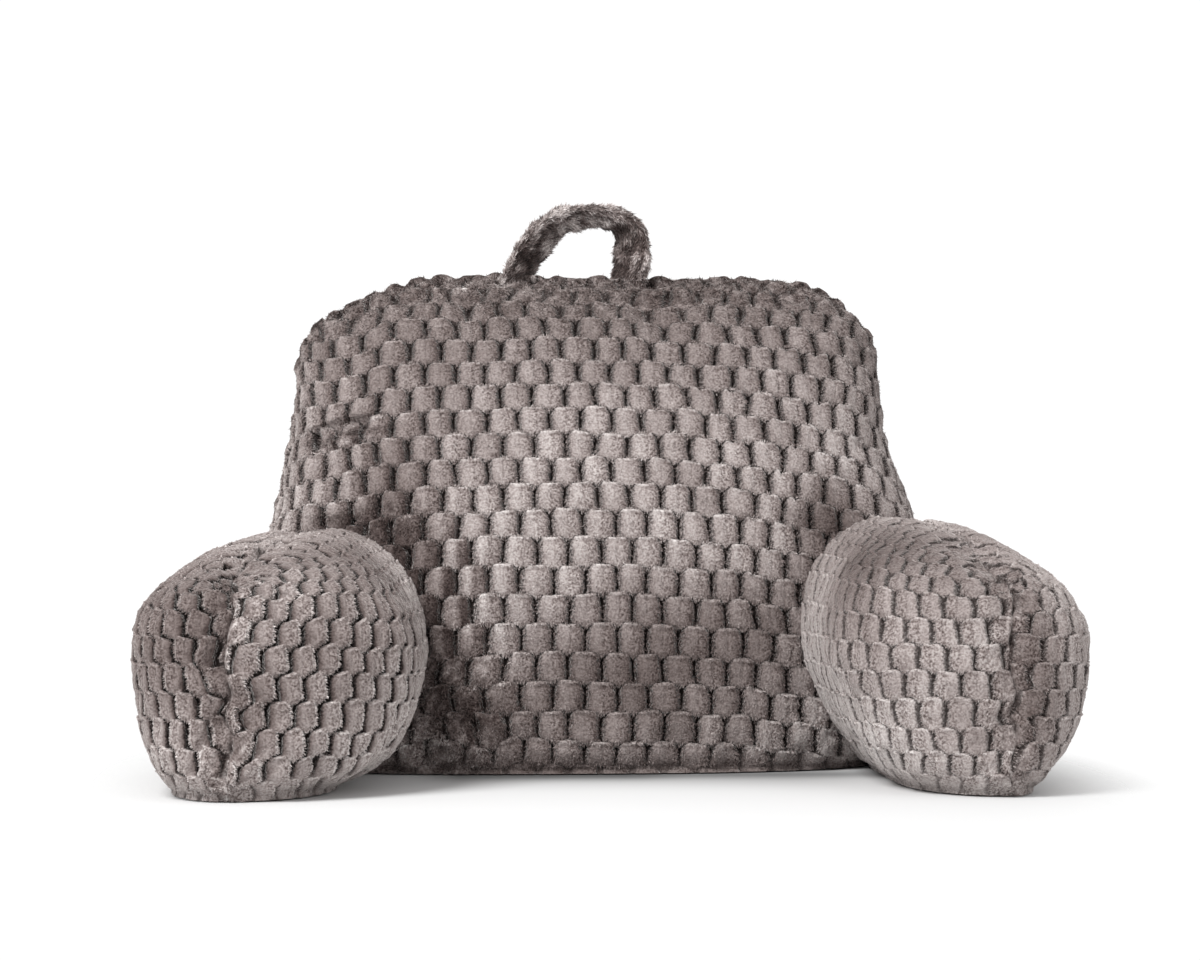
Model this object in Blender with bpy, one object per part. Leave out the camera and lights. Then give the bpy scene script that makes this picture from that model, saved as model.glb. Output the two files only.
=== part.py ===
"""A reading pillow with arms: a stuffed back rest, two stuffed arms and a carry handle.

Metres, +Z up. The sitter leans back towards +Y, and the arms reach forward to -Y.
Every stuffed piece is one filled solid. It is sewn from two panels that meet along a seam
at both ends and along the top, and it sits on a flat base. The solids reach to the tips
of the plush pile.
"""

import math
from collections import namedtuple

import bmesh
import bpy
from mathutils import Vector

GAP = 0.0005  # between two solids that are sewn together
BASE_CUT = 0.02  # how far the trimming form reaches below the base
REST_ROWS = 24
REST_STEPS = 30  # faces across one panel of the rest
ARM_ROWS = 18
ARM_STEPS = 24
STRAP_STEPS = 30
PLUSH = (0.33, 0.28, 0.27, 1.0)

# A row runs round the rest at one height. Its middle is at height and its two ends hang
# left_droop and right_droop lower. left and right are its half widths, front and back the
# depths of its two panels, and seam the depth of its ends.
RestRow = namedtuple("RestRow", "height left_droop right_droop left right front seam back")
REST = (
    RestRow(0.000, 0.000, 0.000, 0.250, 0.252, 0.034, 0.130, 0.232),
    RestRow(0.010, 0.000, 0.000, 0.268, 0.272, 0.012, 0.130, 0.246),
    RestRow(0.050, 0.000, 0.000, 0.284, 0.289, 0.000, 0.131, 0.256),
    RestRow(0.105, 0.000, 0.000, 0.287, 0.293, -0.003, 0.132, 0.258),
    RestRow(0.160, 0.000, 0.000, 0.280, 0.290, 0.004, 0.133, 0.256),
    RestRow(0.215, 0.000, 0.000, 0.265, 0.280, 0.022, 0.136, 0.252),
    RestRow(0.270, 0.002, 0.002, 0.255, 0.264, 0.049, 0.141, 0.246),
    RestRow(0.322, 0.008, 0.007, 0.249, 0.261, 0.079, 0.147, 0.238),
    RestRow(0.364, 0.021, 0.018, 0.248, 0.259, 0.108, 0.155, 0.227),
    RestRow(0.394, 0.033, 0.028, 0.240, 0.254, 0.133, 0.164, 0.214),
    RestRow(0.414, 0.040, 0.035, 0.232, 0.248, 0.153, 0.172, 0.199),
    RestRow(0.4215, 0.042, 0.037, 0.224, 0.242, 0.178, 0.178, 0.178),
)
REST_LEFT_SQUARENESS = 3.1
REST_RIGHT_SQUARENESS = 2.5
REST_BACK_SQUARENESS = 2.9
LEFT_DROOP_POWER = 3.0
RIGHT_DROOP_POWER = 5.0

# A soft trough pressed into the front of the rest, where the stuffing has moved aside.
Trough = namedtuple("Trough", "x height slope half_length half_width depth")
TROUGHS = (
    Trough(-0.232, 0.286, 0.25, 0.045, 0.012, 0.008),
    Trough(-0.205, 0.235, -0.95, 0.085, 0.016, 0.009),
    Trough(0.205, 0.222, 0.90, 0.060, 0.018, 0.006),
)

# A row runs round an arm at one height. Its back is at height and its front end, at depth
# tip, hangs dip lower. inner and outer are how far the panels swell from the seam.
ArmRow = namedtuple("ArmRow", "height dip tip inner outer")
LEFT_ARM = (
    ArmRow(0.000, 0.000, -0.196, 0.072, 0.053),
    ArmRow(0.009, 0.000, -0.215, 0.104, 0.063),
    ArmRow(0.030, 0.000, -0.229, 0.132, 0.069),
    ArmRow(0.060, 0.000, -0.236, 0.142, 0.074),
    ArmRow(0.100, 0.001, -0.239, 0.144, 0.080),
    ArmRow(0.135, 0.006, -0.234, 0.137, 0.081),
    ArmRow(0.165, 0.012, -0.224, 0.122, 0.070),
    ArmRow(0.191, 0.021, -0.212, 0.090, 0.046),
    ArmRow(0.205, 0.030, -0.203, 0.040, 0.021),
    ArmRow(0.200, 0.033, -0.196, 0.000, 0.000),
)
RIGHT_ARM = (
    ArmRow(0.000, 0.000, -0.190, 0.046, 0.047),
    ArmRow(0.009, 0.000, -0.211, 0.070, 0.062),
    ArmRow(0.030, 0.000, -0.227, 0.088, 0.075),
    ArmRow(0.060, 0.000, -0.236, 0.106, 0.085),
    ArmRow(0.100, 0.001, -0.239, 0.119, 0.089),
    ArmRow(0.135, 0.007, -0.234, 0.117, 0.089),
    ArmRow(0.168, 0.015, -0.225, 0.105, 0.072),
    ArmRow(0.196, 0.026, -0.213, 0.078, 0.047),
    ArmRow(0.210, 0.034, -0.204, 0.036, 0.024),
    ArmRow(0.205, 0.037, -0.197, 0.000, 0.000),
)
# side is -1 for the sitter's right arm, at -X, and drift how far its top seam leans inwards.
Arm = namedtuple("Arm", "name rows side seam drift")
ARMS = (
    Arm("arm_left", LEFT_ARM, -1.0, 0.290, 0.062),
    Arm("arm_right", RIGHT_ARM, 1.0, 0.290, 0.026),
)
INNER_NOSE = 0.118  # length over which the panel rounds off to the front seam
OUTER_NOSE = 0.086
NOSE_SQUARENESS = 2.15
ARM_END = 0.118  # depth of the end that is sewn into the rest
HEEL = 0.085  # length over which a panel turns in towards that end
HEEL_SQUARENESS = 2.3
NOSE_SHARE = 0.50  # of the steps along a panel that round its nose
SIDE_SHARE = 0.70
SEAM_PULL = 0.009  # how deep the stitching draws the front seam in
SEAM_REACH = 0.013

# The handle's strap. x and height are its middle line, and flare how far its front edge
# is turned outwards, in degrees.
StrapPoint = namedtuple("StrapPoint", "x height flare")
STRAP = (
    StrapPoint(-0.064, 0.400, 38.0),
    StrapPoint(-0.053, 0.425, 38.0),
    StrapPoint(-0.038, 0.449, 36.0),
    StrapPoint(-0.018, 0.467, 28.0),
    StrapPoint(0.006, 0.4715, 22.0),
    StrapPoint(0.029, 0.4685, 24.0),
    StrapPoint(0.0435, 0.456, 36.0),
    StrapPoint(0.0450, 0.438, 42.0),
    StrapPoint(0.0425, 0.420, 42.0),
    StrapPoint(0.0400, 0.400, 42.0),
)
STRAP_DEPTH = 0.180
STRAP_WIDTH = 0.040
STRAP_THICKNESS = 0.013
STRAP_SIDES = 12
STRAP_SQUARENESS = 3.0


def signed_power(value, power):
    return math.copysign(abs(value) ** power, value)


def eased_rows(rows, count, lengths=None):
    """Rows evenly spaced along a smooth curve through the given ones.

    lengths is how many of the columns are lengths. Without it all of them are.
    """
    fields = list(zip(*rows))
    places = [0.0]
    for low, high in zip(rows, rows[1:]):
        places.append(places[-1] + math.dist(low[:lengths], high[:lengths]))
    slopes = []
    for field in fields:
        steps = [
            (field[i + 1] - field[i]) / (places[i + 1] - places[i])
            for i in range(len(rows) - 1)
        ]
        middle = [(a + b) / 2 for a, b in zip(steps, steps[1:])]
        slopes.append([steps[0], *middle, steps[-1]])
    made = []
    for step in range(count):
        place = places[-1] * step / (count - 1)
        i = max(k for k in range(len(rows) - 1) if places[k] <= place + 1e-9)
        span = places[i + 1] - places[i]
        t = (place - places[i]) / span
        values = []
        for field, slope in zip(fields, slopes):
            values.append(
                field[i] * (1 + 2 * t) * (1 - t) ** 2
                + field[i + 1] * t * t * (3 - 2 * t)
                + slope[i] * span * t * (1 - t) ** 2
                - slope[i + 1] * span * t * t * (1 - t)
            )
        made.append(type(rows[0])(*values))
    return made


def trough_depth(x, height):
    """How far the troughs press the front of the rest back at this place."""
    pressed = 0.0
    for trough in TROUGHS:
        run = math.hypot(1.0, trough.slope)
        dx, dz = x - trough.x, height - trough.height
        along = (dx + dz * trough.slope) / run
        across = (dz - dx * trough.slope) / run
        pressed += trough.depth * math.exp(
            -((across / trough.half_width) ** 2) - (along / trough.half_length) ** 4
        )
    return pressed


def rest_point(row, is_front, share):
    """A point of the rest. share runs from the left end of the row, 0, to the right, 1."""
    turn = (share - 0.5) * math.pi
    sine, cosine = math.sin(turn), max(0.0, math.cos(turn))
    if is_front:
        squareness = REST_LEFT_SQUARENESS if sine < 0 else REST_RIGHT_SQUARENESS
    else:
        squareness = REST_BACK_SQUARENESS
    across = signed_power(sine, 2 / squareness)
    swell = cosine ** (2 / squareness)
    x = across * (row.left if sine < 0 else row.right)
    if sine < 0:
        height = row.height - row.left_droop * abs(across) ** LEFT_DROOP_POWER
    else:
        height = row.height - row.right_droop * abs(across) ** RIGHT_DROOP_POWER
    if is_front:
        y = row.seam - (row.seam - row.front) * swell
        y += trough_depth(x, height) * swell
    else:
        y = row.seam + (row.back - row.seam) * swell
    return Vector((x, y, height))


def arm_point(arm, row, is_inner, share):
    """A point of an arm. share runs from the front seam, 0, to the end in the rest, 1."""
    swell = row.inner if is_inner else row.outer
    nose = INNER_NOSE if is_inner else OUTER_NOSE
    if share < NOSE_SHARE:
        turn = share / NOSE_SHARE * math.pi / 2
        y = row.tip + nose * (1 - math.cos(turn) ** (2 / NOSE_SQUARENESS))
        aside = swell * math.sin(turn) ** (2 / NOSE_SQUARENESS)
    elif share < SIDE_SHARE:
        run = (share - NOSE_SHARE) / (SIDE_SHARE - NOSE_SHARE)
        y = row.tip + nose + (ARM_END - HEEL - row.tip - nose) * run
        aside = swell
    else:
        turn = (share - SIDE_SHARE) / (1 - SIDE_SHARE) * math.pi / 2
        y = ARM_END - HEEL * (1 - math.sin(turn) ** (2 / HEEL_SQUARENESS))
        aside = swell * max(0.0, math.cos(turn)) ** (2 / HEEL_SQUARENESS)
    back_share = (y - row.tip) / (ARM_END - row.tip)
    rise = row.height / arm.rows[-1].height
    if swell > SEAM_REACH and share < NOSE_SHARE:
        y += SEAM_PULL * math.exp(-((aside / SEAM_REACH) ** 2)) * min(1.0, rise * 4)
    height = row.height - row.dip * (1 - back_share) ** 2
    seam = arm.seam - arm.drift * back_share * rise**2
    x = arm.side * (seam - aside if is_inner else seam + aside)
    return Vector((x, y, height))


def finished_mesh(name, mesh):
    bmesh.ops.recalc_face_normals(mesh, faces=mesh.faces)
    bmesh.ops.triangulate(mesh, faces=mesh.faces)
    data = bpy.data.meshes.new(name)
    mesh.to_mesh(data)
    mesh.free()
    data.shade_smooth()
    return data


def sewn_mesh(name, rows, steps, point):
    """A filled form of two panels that share their end seams and the top seam.

    point gives the place of (row, which panel, share of the way along it).
    """
    mesh = bmesh.new()
    loops = []
    for row in rows:
        first = [mesh.verts.new(point(row, True, k / steps)) for k in range(steps + 1)]
        if row is rows[-1]:
            loops.append((first, first))
            continue
        inside = [mesh.verts.new(point(row, False, k / steps)) for k in range(1, steps)]
        loops.append((first, [first[0], *inside, first[-1]]))
    for low, high in zip(loops, loops[1:]):
        for panel in (0, 1):
            for k in range(steps):
                corners = (low[panel][k], low[panel][k + 1], high[panel][k + 1], high[panel][k])
                mesh.faces.new(dict.fromkeys(corners))
    base_first, base_second = loops[0]
    for k in range(steps):
        corners = (base_first[k], base_first[k + 1], base_second[k + 1], base_second[k])
        mesh.faces.new(dict.fromkeys(corners))
    return finished_mesh(name, mesh)


def strap_mesh(name):
    """The handle: a stuffed strap whose front edge is turned outwards all along its arch."""
    points = eased_rows(STRAP, STRAP_STEPS, lengths=2)
    mesh = bmesh.new()
    rings = []
    for k, place in enumerate(points):
        before, after = points[max(k - 1, 0)], points[min(k + 1, len(points) - 1)]
        run = Vector((after.x - before.x, 0.0, after.height - before.height)).normalized()
        outward = Vector((-run.z, 0.0, run.x))
        flare = math.radians(place.flare)
        across = Vector((0.0, -math.cos(flare), 0.0)) + outward * math.sin(flare)
        through = run.cross(across)
        middle = Vector((place.x, STRAP_DEPTH, place.height))
        ring = []
        for side in range(STRAP_SIDES):
            turn = 2 * math.pi * (side + 0.5) / STRAP_SIDES
            wide = signed_power(math.cos(turn), 2 / STRAP_SQUARENESS) * STRAP_WIDTH / 2
            thick = signed_power(math.sin(turn), 2 / STRAP_SQUARENESS) * STRAP_THICKNESS / 2
            ring.append(mesh.verts.new(middle + across * wide + through * thick))
        rings.append(ring)
    for low, high in zip(rings, rings[1:]):
        for side in range(STRAP_SIDES):
            after = (side + 1) % STRAP_SIDES
            mesh.faces.new((low[side], low[after], high[after], high[side]))
    mesh.faces.new(rings[0])
    mesh.faces.new(rings[-1])
    return finished_mesh(name, mesh)


def plush_material():
    material = bpy.data.materials.new("plush")
    material.use_nodes = True
    shader = material.node_tree.nodes["Principled BSDF"]
    shader.inputs["Base Color"].default_value = PLUSH
    shader.inputs["Roughness"].default_value = 1.0
    shader.inputs["Metallic"].default_value = 0.0
    shader.inputs["Sheen Weight"].default_value = 0.6
    return material


def add_object(name, data, material, parent):
    made = bpy.data.objects.new(name, data)
    bpy.context.scene.collection.objects.link(made)
    data.materials.append(material)
    made.parent = parent
    return made


def rest_cutter(data, parent):
    """The rest grown by the gap, which trims what is sewn to it."""
    grown = data.copy()
    normals = [vertex.normal.copy() for vertex in grown.vertices]
    for vertex, normal in zip(grown.vertices, normals):
        vertex.co += normal * GAP
        if vertex.co.z < 0.0:
            vertex.co.z = -BASE_CUT
    made = bpy.data.objects.new("rest_cutter", grown)
    bpy.context.scene.collection.objects.link(made)
    made.parent = parent
    made.hide_render = True
    made.display_type = "WIRE"
    return made


def trim(piece, cutter):
    modifier = piece.modifiers.new("sewn_to_rest", "BOOLEAN")
    modifier.operation = "DIFFERENCE"
    modifier.object = cutter


def main():
    for old in list(bpy.data.objects):
        bpy.data.objects.remove(old)
    plush = plush_material()
    pillow = bpy.data.objects.new("pillow", None)
    bpy.context.scene.collection.objects.link(pillow)

    rest = sewn_mesh("rest", eased_rows(REST, REST_ROWS), REST_STEPS, rest_point)
    add_object("rest", rest, plush, pillow)
    cutter = rest_cutter(rest, pillow)

    corners = [vertex.co for vertex in rest.vertices]
    for arm in ARMS:

        def point(row, is_inner, share, arm=arm):
            return arm_point(arm, row, is_inner, share)

        data = sewn_mesh(arm.name, eased_rows(arm.rows, ARM_ROWS), ARM_STEPS, point)
        trim(add_object(arm.name, data, plush, pillow), cutter)
        corners += [vertex.co for vertex in data.vertices]

    trim(add_object("handle", strap_mesh("handle"), plush, pillow), cutter)

    # The origin is under the middle of the pillow's box.
    low = [min(corner[axis] for corner in corners) for axis in (0, 1)]
    high = [max(corner[axis] for corner in corners) for axis in (0, 1)]
    pillow.location = (-(low[0] + high[0]) / 2, -(low[1] + high[1]) / 2, 0.0)


main()
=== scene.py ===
import math

import bpy
import numpy as np
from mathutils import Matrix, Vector
from mathutils.bvhtree import BVHTree


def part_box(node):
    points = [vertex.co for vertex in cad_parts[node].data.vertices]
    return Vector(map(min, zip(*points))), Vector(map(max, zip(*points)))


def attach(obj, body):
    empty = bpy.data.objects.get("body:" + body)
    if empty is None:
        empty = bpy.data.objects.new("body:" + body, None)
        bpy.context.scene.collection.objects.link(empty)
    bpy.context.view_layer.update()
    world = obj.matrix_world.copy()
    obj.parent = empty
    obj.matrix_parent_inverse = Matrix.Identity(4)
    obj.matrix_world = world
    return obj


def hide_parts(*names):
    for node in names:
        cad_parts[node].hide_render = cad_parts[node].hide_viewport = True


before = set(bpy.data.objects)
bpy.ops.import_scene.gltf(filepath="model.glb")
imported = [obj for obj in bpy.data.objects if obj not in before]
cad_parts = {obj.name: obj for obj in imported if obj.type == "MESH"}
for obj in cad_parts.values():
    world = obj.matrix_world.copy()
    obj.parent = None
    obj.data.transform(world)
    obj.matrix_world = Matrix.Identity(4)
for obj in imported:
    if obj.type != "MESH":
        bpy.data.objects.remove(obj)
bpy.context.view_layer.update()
print("frame loaded")

# the lens in millimetres, its turn in degrees, and its place from the foot of the rest
view = dict(lens=102.45, distance=2.8, height=0.2415, turn=-4.0, aside=0.0045)
studio = dict(
    backdrop=1.05,  # how bright the plain surround looks
    sky=0.72,  # and how much light it gives
    key=dict(place=(-1.7, -1.9, 2.8), size=1.7, power=150.0, aim=(0.0, -0.05, 0.2)),
    fill=dict(place=(2.4, -1.6, 1.3), size=2.2, power=14.0, aim=(0.0, 0.0, 0.2)),
    floorReach=30.0,
    floorTone=0.66,
    floorFade=(0.32, 0.47),  # where the floor starts to melt into the surround, and where it has
    floorDeep=0.55,  # how much less deep than wide that place is
    # painted shadow on the floor between the arms, and close to the foot of the rest
    floorShadows=(
        dict(x=0.03, y=-0.02, half=0.22, reach=0.20, amount=0.42),
        dict(x=0.075, y=-0.02, half=0.22, reach=0.075, amount=0.45),
        dict(x=-0.045, y=-0.02, half=0.12, reach=0.095, amount=0.42),
    ),
)

# how far the rest reaches from the middle of its front foot
restReach = dict(right=0.293, back=0.258)
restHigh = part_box("rest")[1]
footX, footY = restHigh[0] - restReach["right"], restHigh[1] - restReach["back"]


def addCamera():
    data = bpy.data.cameras.new("camera")
    data.lens = view["lens"]
    data.sensor_width = 36.0
    data.clip_start, data.clip_end = 0.05, 60.0
    camera = bpy.data.objects.new("camera", data)
    turn = math.radians(view["turn"])
    camera.location = (
        footX + view["aside"] + math.sin(turn) * view["distance"],
        footY - math.cos(turn) * view["distance"],
        view["height"],
    )
    camera.rotation_euler = (math.pi / 2, 0.0, turn)
    bpy.context.scene.collection.objects.link(camera)
    bpy.context.scene.camera = camera


def addLamp(name, place, size, power, aim):
    data = bpy.data.lights.new(name, "AREA")
    data.shape = "DISK"
    data.size = size
    data.energy = power
    lamp = bpy.data.objects.new(name, data)
    lamp.location = place
    lamp.rotation_euler = (Vector(aim) - Vector(place)).to_track_quat("-Z", "Y").to_euler()
    bpy.context.scene.collection.objects.link(lamp)


class Wire:
    # a value in a node tree: sums with it become math nodes

    def __init__(self, tree, socket):
        self.tree = tree
        self.socket = socket

    def math(self, operation, *others):
        node = self.tree.nodes.new("ShaderNodeMath")
        node.operation = operation
        for socket, value in zip(node.inputs, (self, *others)):
            plug(socket, value)
        return Wire(self.tree, node.outputs[0])

    def __add__(self, other):
        return self.math("ADD", other)

    def __sub__(self, other):
        return self.math("SUBTRACT", other)

    def __rsub__(self, other):
        return self.math("MULTIPLY_ADD", -1.0, other)

    def __mul__(self, other):
        return self.math("MULTIPLY", other)

    def __truediv__(self, other):
        return self.math("DIVIDE", other)

    def __pow__(self, other):
        return self.math("POWER", other)

    def __gt__(self, other):
        return self.math("GREATER_THAN", other)

    def __abs__(self):
        return self.math("ABSOLUTE")

    __radd__ = __add__
    __rmul__ = __mul__


def plug(socket, value):
    # a wire or a number into a socket
    if isinstance(value, Wire):
        value.tree.links.new(value.socket, socket)
    else:
        socket.default_value = value


def smoothStep(value):
    value = np.clip(value, 0, 1)
    return value * value * (3 - 2 * value)


def ramp(value, low, high):
    # 0 to 1, eased, while the value, an array or a wire, goes from low to high
    if not isinstance(value, Wire):
        return smoothStep((value - low) / (high - low))
    node = value.tree.nodes.new("ShaderNodeMapRange")
    node.interpolation_type = "SMOOTHSTEP"
    node.inputs["From Min"].default_value = low
    node.inputs["From Max"].default_value = high
    plug(node.inputs["Value"], value)
    return Wire(value.tree, node.outputs["Result"])


def hump(value, middle, reach):
    # 1 at the middle, falling to 0 at the reach on both sides
    return ramp(abs(value - middle), reach, 0.0)


def bell(value, middle, reach):
    # 1 at the middle, falling off smoothly on both sides
    return np.exp(-(((value - middle) / reach) ** 2))


def cameraRay(tree):
    return Wire(tree, tree.nodes.new("ShaderNodeLightPath").outputs["Is Camera Ray"])


def mixShaders(tree, factor, first, second, output):
    mix = tree.nodes.new("ShaderNodeMixShader")
    plug(mix.inputs["Fac"], factor)
    tree.links.new(first.outputs[0], mix.inputs[1])
    tree.links.new(second.outputs[0], mix.inputs[2])
    tree.links.new(mix.outputs[0], tree.nodes[output].inputs["Surface"])


def addFloor():
    data = bpy.data.meshes.new("floor")
    reach = studio["floorReach"]
    corners = [(-reach, -reach, 0), (reach, -reach, 0), (reach, reach, 0), (-reach, reach, 0)]
    data.from_pydata(corners, [], [(0, 1, 2, 3)])
    floor = bpy.data.objects.new("floor", data)
    bpy.context.scene.collection.objects.link(floor)
    material = bpy.data.materials.new("paleFloor")
    material.use_nodes = True
    tree = material.node_tree
    shader = tree.nodes["Principled BSDF"]
    shader.inputs["Roughness"].default_value = 0.9
    shader.inputs["Specular IOR Level"].default_value = 0.1
    place, apart = tree.nodes.new("ShaderNodeTexCoord"), tree.nodes.new("ShaderNodeSeparateXYZ")
    tree.links.new(place.outputs["Object"], apart.inputs["Vector"])
    x, y = (Wire(tree, apart.outputs[axis]) for axis in "XY")
    tone = studio["floorTone"]
    # painted shadow: the floor is darker between the arms and close to the foot of the rest
    for floorShadow in studio["floorShadows"]:
        deep = ramp(abs(y - floorShadow["y"]), floorShadow["reach"], 0.0)
        wide = ramp(abs(x - floorShadow["x"]), floorShadow["half"], 0.5 * floorShadow["half"])
        tone = tone * (1.0 - floorShadow["amount"] * deep * deep * wide)
    plug(shader.inputs["Base Color"], tone)
    y = y * studio["floorDeep"]
    fade = ramp((x * x + y * y).math("SQRT"), *studio["floorFade"]) * cameraRay(tree)
    clear = tree.nodes.new("ShaderNodeBsdfTransparent")
    mixShaders(tree, fade, shader, clear, "Material Output")
    data.materials.append(material)


def addSky():
    # an even white surround that looks brighter than the light it gives
    world = bpy.data.worlds.new("studio")
    world.use_nodes = True
    tree = world.node_tree
    given = tree.nodes["Background"]
    seen = tree.nodes.new("ShaderNodeBackground")
    for background, strength in ((given, studio["sky"]), (seen, studio["backdrop"])):
        background.inputs["Color"].default_value = (1.0, 1.0, 1.0, 1.0)
        background.inputs["Strength"].default_value = strength
    mixShaders(tree, cameraRay(tree), given, seen, "World Output")
    bpy.context.scene.world = world


addCamera()
addLamp("key", **studio["key"])
addLamp("fill", **studio["fill"])
addFloor()
addSky()
bpy.context.scene.view_settings.view_transform = "Standard"
print("camera, lights and floor set")

# Rows run round the rest from its base up: height, left and right droop, left and right
# half width, and the depths of the front panel, the side seam and the back panel.
restForm = dict(
    rows=(
        (0.000, 0.000, 0.000, 0.252, 0.254, -0.004, 0.130, 0.232),
        (0.010, 0.000, 0.000, 0.268, 0.272, -0.011, 0.130, 0.246),
        (0.050, 0.000, 0.000, 0.284, 0.289, -0.006, 0.131, 0.256),
        (0.105, 0.000, 0.000, 0.287, 0.293, -0.003, 0.132, 0.258),
        (0.160, 0.000, 0.000, 0.280, 0.295, 0.004, 0.133, 0.256),
        (0.215, 0.000, 0.000, 0.267, 0.287, 0.022, 0.136, 0.252),
        (0.270, 0.002, 0.002, 0.256, 0.267, 0.049, 0.141, 0.246),
        (0.322, 0.008, 0.007, 0.249, 0.261, 0.079, 0.147, 0.238),
        (0.364, 0.021, 0.018, 0.248, 0.259, 0.108, 0.155, 0.227),
        (0.394, 0.030, 0.025, 0.242, 0.255, 0.133, 0.164, 0.214),
        (0.413, 0.038, 0.033, 0.234, 0.248, 0.153, 0.172, 0.199),
        (0.4205, 0.040, 0.035, 0.226, 0.242, 0.178, 0.178, 0.178),
    ),
    leftSquareness=3.1,
    rightSquareness=2.5,
    backSquareness=2.9,
    leftDroopPower=4.6,
    rightDroopPower=9.0,
    crest=(-0.105, 0.055, 0.0030),  # x, half length and height of the high place along the top
    # troughs: x, height, slope, half length, half width, depth
    troughs=(
        (-0.212, 0.284, 0.17, 0.042, 0.0050, 0.012),
        (-0.205, 0.235, -0.95, 0.085, 0.016, 0.009),
        (-0.212, 0.201, 0.10, 0.026, 0.010, 0.012),
        (0.205, 0.222, 0.90, 0.060, 0.018, 0.006),
    ),
)
# Rows run round an arm: height, dip and depth of its front end, inner and outer swell.
armForms = dict(
    armLeft=dict(
        node="arm_left",
        side=-1.0,
        seam=0.290,
        drift=0.062,
        cloth=dict(narrow=0.79, farRim=0.95, depth=0.74, slant=-1.0, tilt=0.45, shear=0.28),
        rows=(
            (0.000, 0.000, -0.226, 0.080, 0.046),
            (0.009, 0.000, -0.238, 0.104, 0.057),
            (0.030, 0.000, -0.243, 0.128, 0.066),
            (0.060, 0.000, -0.241, 0.139, 0.073),
            (0.100, 0.001, -0.239, 0.144, 0.080),
            (0.135, 0.006, -0.234, 0.133, 0.081),
            (0.165, 0.012, -0.224, 0.110, 0.070),
            (0.191, 0.021, -0.212, 0.074, 0.046),
            (0.205, 0.030, -0.203, 0.034, 0.021),
            (0.200, 0.033, -0.196, 0.000, 0.000),
        ),
    ),
    armRight=dict(
        node="arm_right",
        side=1.0,
        seam=0.303,
        drift=0.039,
        cloth=dict(
            narrow=0.87, farRim=0.0, depth=0.90, slant=0.0, tilt=0.10, shear=0.08, carved=0.79
        ),
        rows=(
            (0.000, 0.000, -0.220, 0.069, 0.028),
            (0.009, 0.000, -0.234, 0.087, 0.040),
            (0.030, 0.000, -0.242, 0.098, 0.053),
            (0.060, 0.000, -0.241, 0.111, 0.069),
            (0.100, 0.001, -0.239, 0.125, 0.076),
            (0.135, 0.007, -0.234, 0.121, 0.076),
            (0.168, 0.014, -0.225, 0.106, 0.060),
            (0.198, 0.024, -0.213, 0.072, 0.037),
            (0.213, 0.032, -0.204, 0.036, 0.018),
            (0.209, 0.035, -0.197, 0.000, 0.000),
        ),
    ),
)
armMake = dict(
    innerNose=0.118,
    outerNose=0.086,
    noseSquareness=2.15,
    end=0.118,
    heel=0.085,
    heelSquareness=2.3,
    noseShare=0.50,
    sideShare=0.70,
    dipMore=1.35,
    dipPower=3.2,
    seamPull=0.005,
    seamReach=0.010,
)


def eased(low, high, lowSlope, highSlope, t):
    # on the way from low to high, with its slopes there counted over the whole way
    return (
        low * (1 + 2 * t) * (1 - t) ** 2
        + high * t * t * (3 - 2 * t)
        + lowSlope * t * (1 - t) ** 2
        - highSlope * t * t * (1 - t)
    )


def easedRows(table, where, lengths=None):
    # rows at the places in where, 0 to 1, on a smooth curve through the table
    rows = np.array(table)
    gaps = np.linalg.norm(np.diff(rows[:, :lengths], axis=0), axis=1)
    places = np.concatenate([[0.0], np.cumsum(gaps)])
    steps = np.diff(rows, axis=0) / gaps[:, None]
    slopes = np.vstack([steps[:1], (steps[:-1] + steps[1:]) / 2, steps[-1:]])
    at = np.asarray(where) * places[-1]
    i = np.clip(np.searchsorted(places, at, side="right") - 1, 0, len(gaps) - 1)
    span = gaps[i][:, None]
    t = ((at - places[i]) / gaps[i])[:, None]
    return eased(rows[i], rows[i + 1], slopes[i] * span, slopes[i + 1] * span, t)


def signedPower(value, power):
    return np.sign(value) * np.abs(value) ** power


def restSurface(isFront, wheres, shares):
    form = restForm
    height, leftDroop, rightDroop, left, right, front, seam, back = (
        column[:, None] for column in easedRows(form["rows"], wheres).T
    )
    turn = (shares[None, :] - 0.5) * math.pi
    sine, cosine = np.sin(turn), np.clip(np.cos(turn), 0.0, None)
    isLeft = sine < 0
    if isFront:
        squareness = np.where(isLeft, form["leftSquareness"], form["rightSquareness"])
    else:
        squareness = np.full_like(sine, form["backSquareness"])
    across = signedPower(sine, 2 / squareness)
    swell = cosine ** (2 / squareness)
    x = across * np.where(isLeft, left, right)
    droop = np.where(
        isLeft,
        leftDroop * np.abs(across) ** form["leftDroopPower"],
        rightDroop * np.abs(across) ** form["rightDroopPower"],
    )
    middle, reach, lift = form["crest"]
    z = height - droop + lift * bell(x, middle, reach) * smoothStep((height - 0.36) / 0.05)
    if isFront:
        y = seam - (seam - front) * swell
        for middle, level, slope, halfLength, halfWidth, depth in form["troughs"]:
            run = math.hypot(1.0, slope)
            along = ((x - middle) + (z - level) * slope) / run
            aside = ((z - level) - (x - middle) * slope) / run
            pressed = np.exp(-((aside / halfWidth) ** 2) - (along / halfLength) ** 4)
            y = y + depth * pressed * swell
    else:
        y = seam + (back - seam) * swell
    return np.stack([x + footX, y + footY, z], axis=2)


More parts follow.
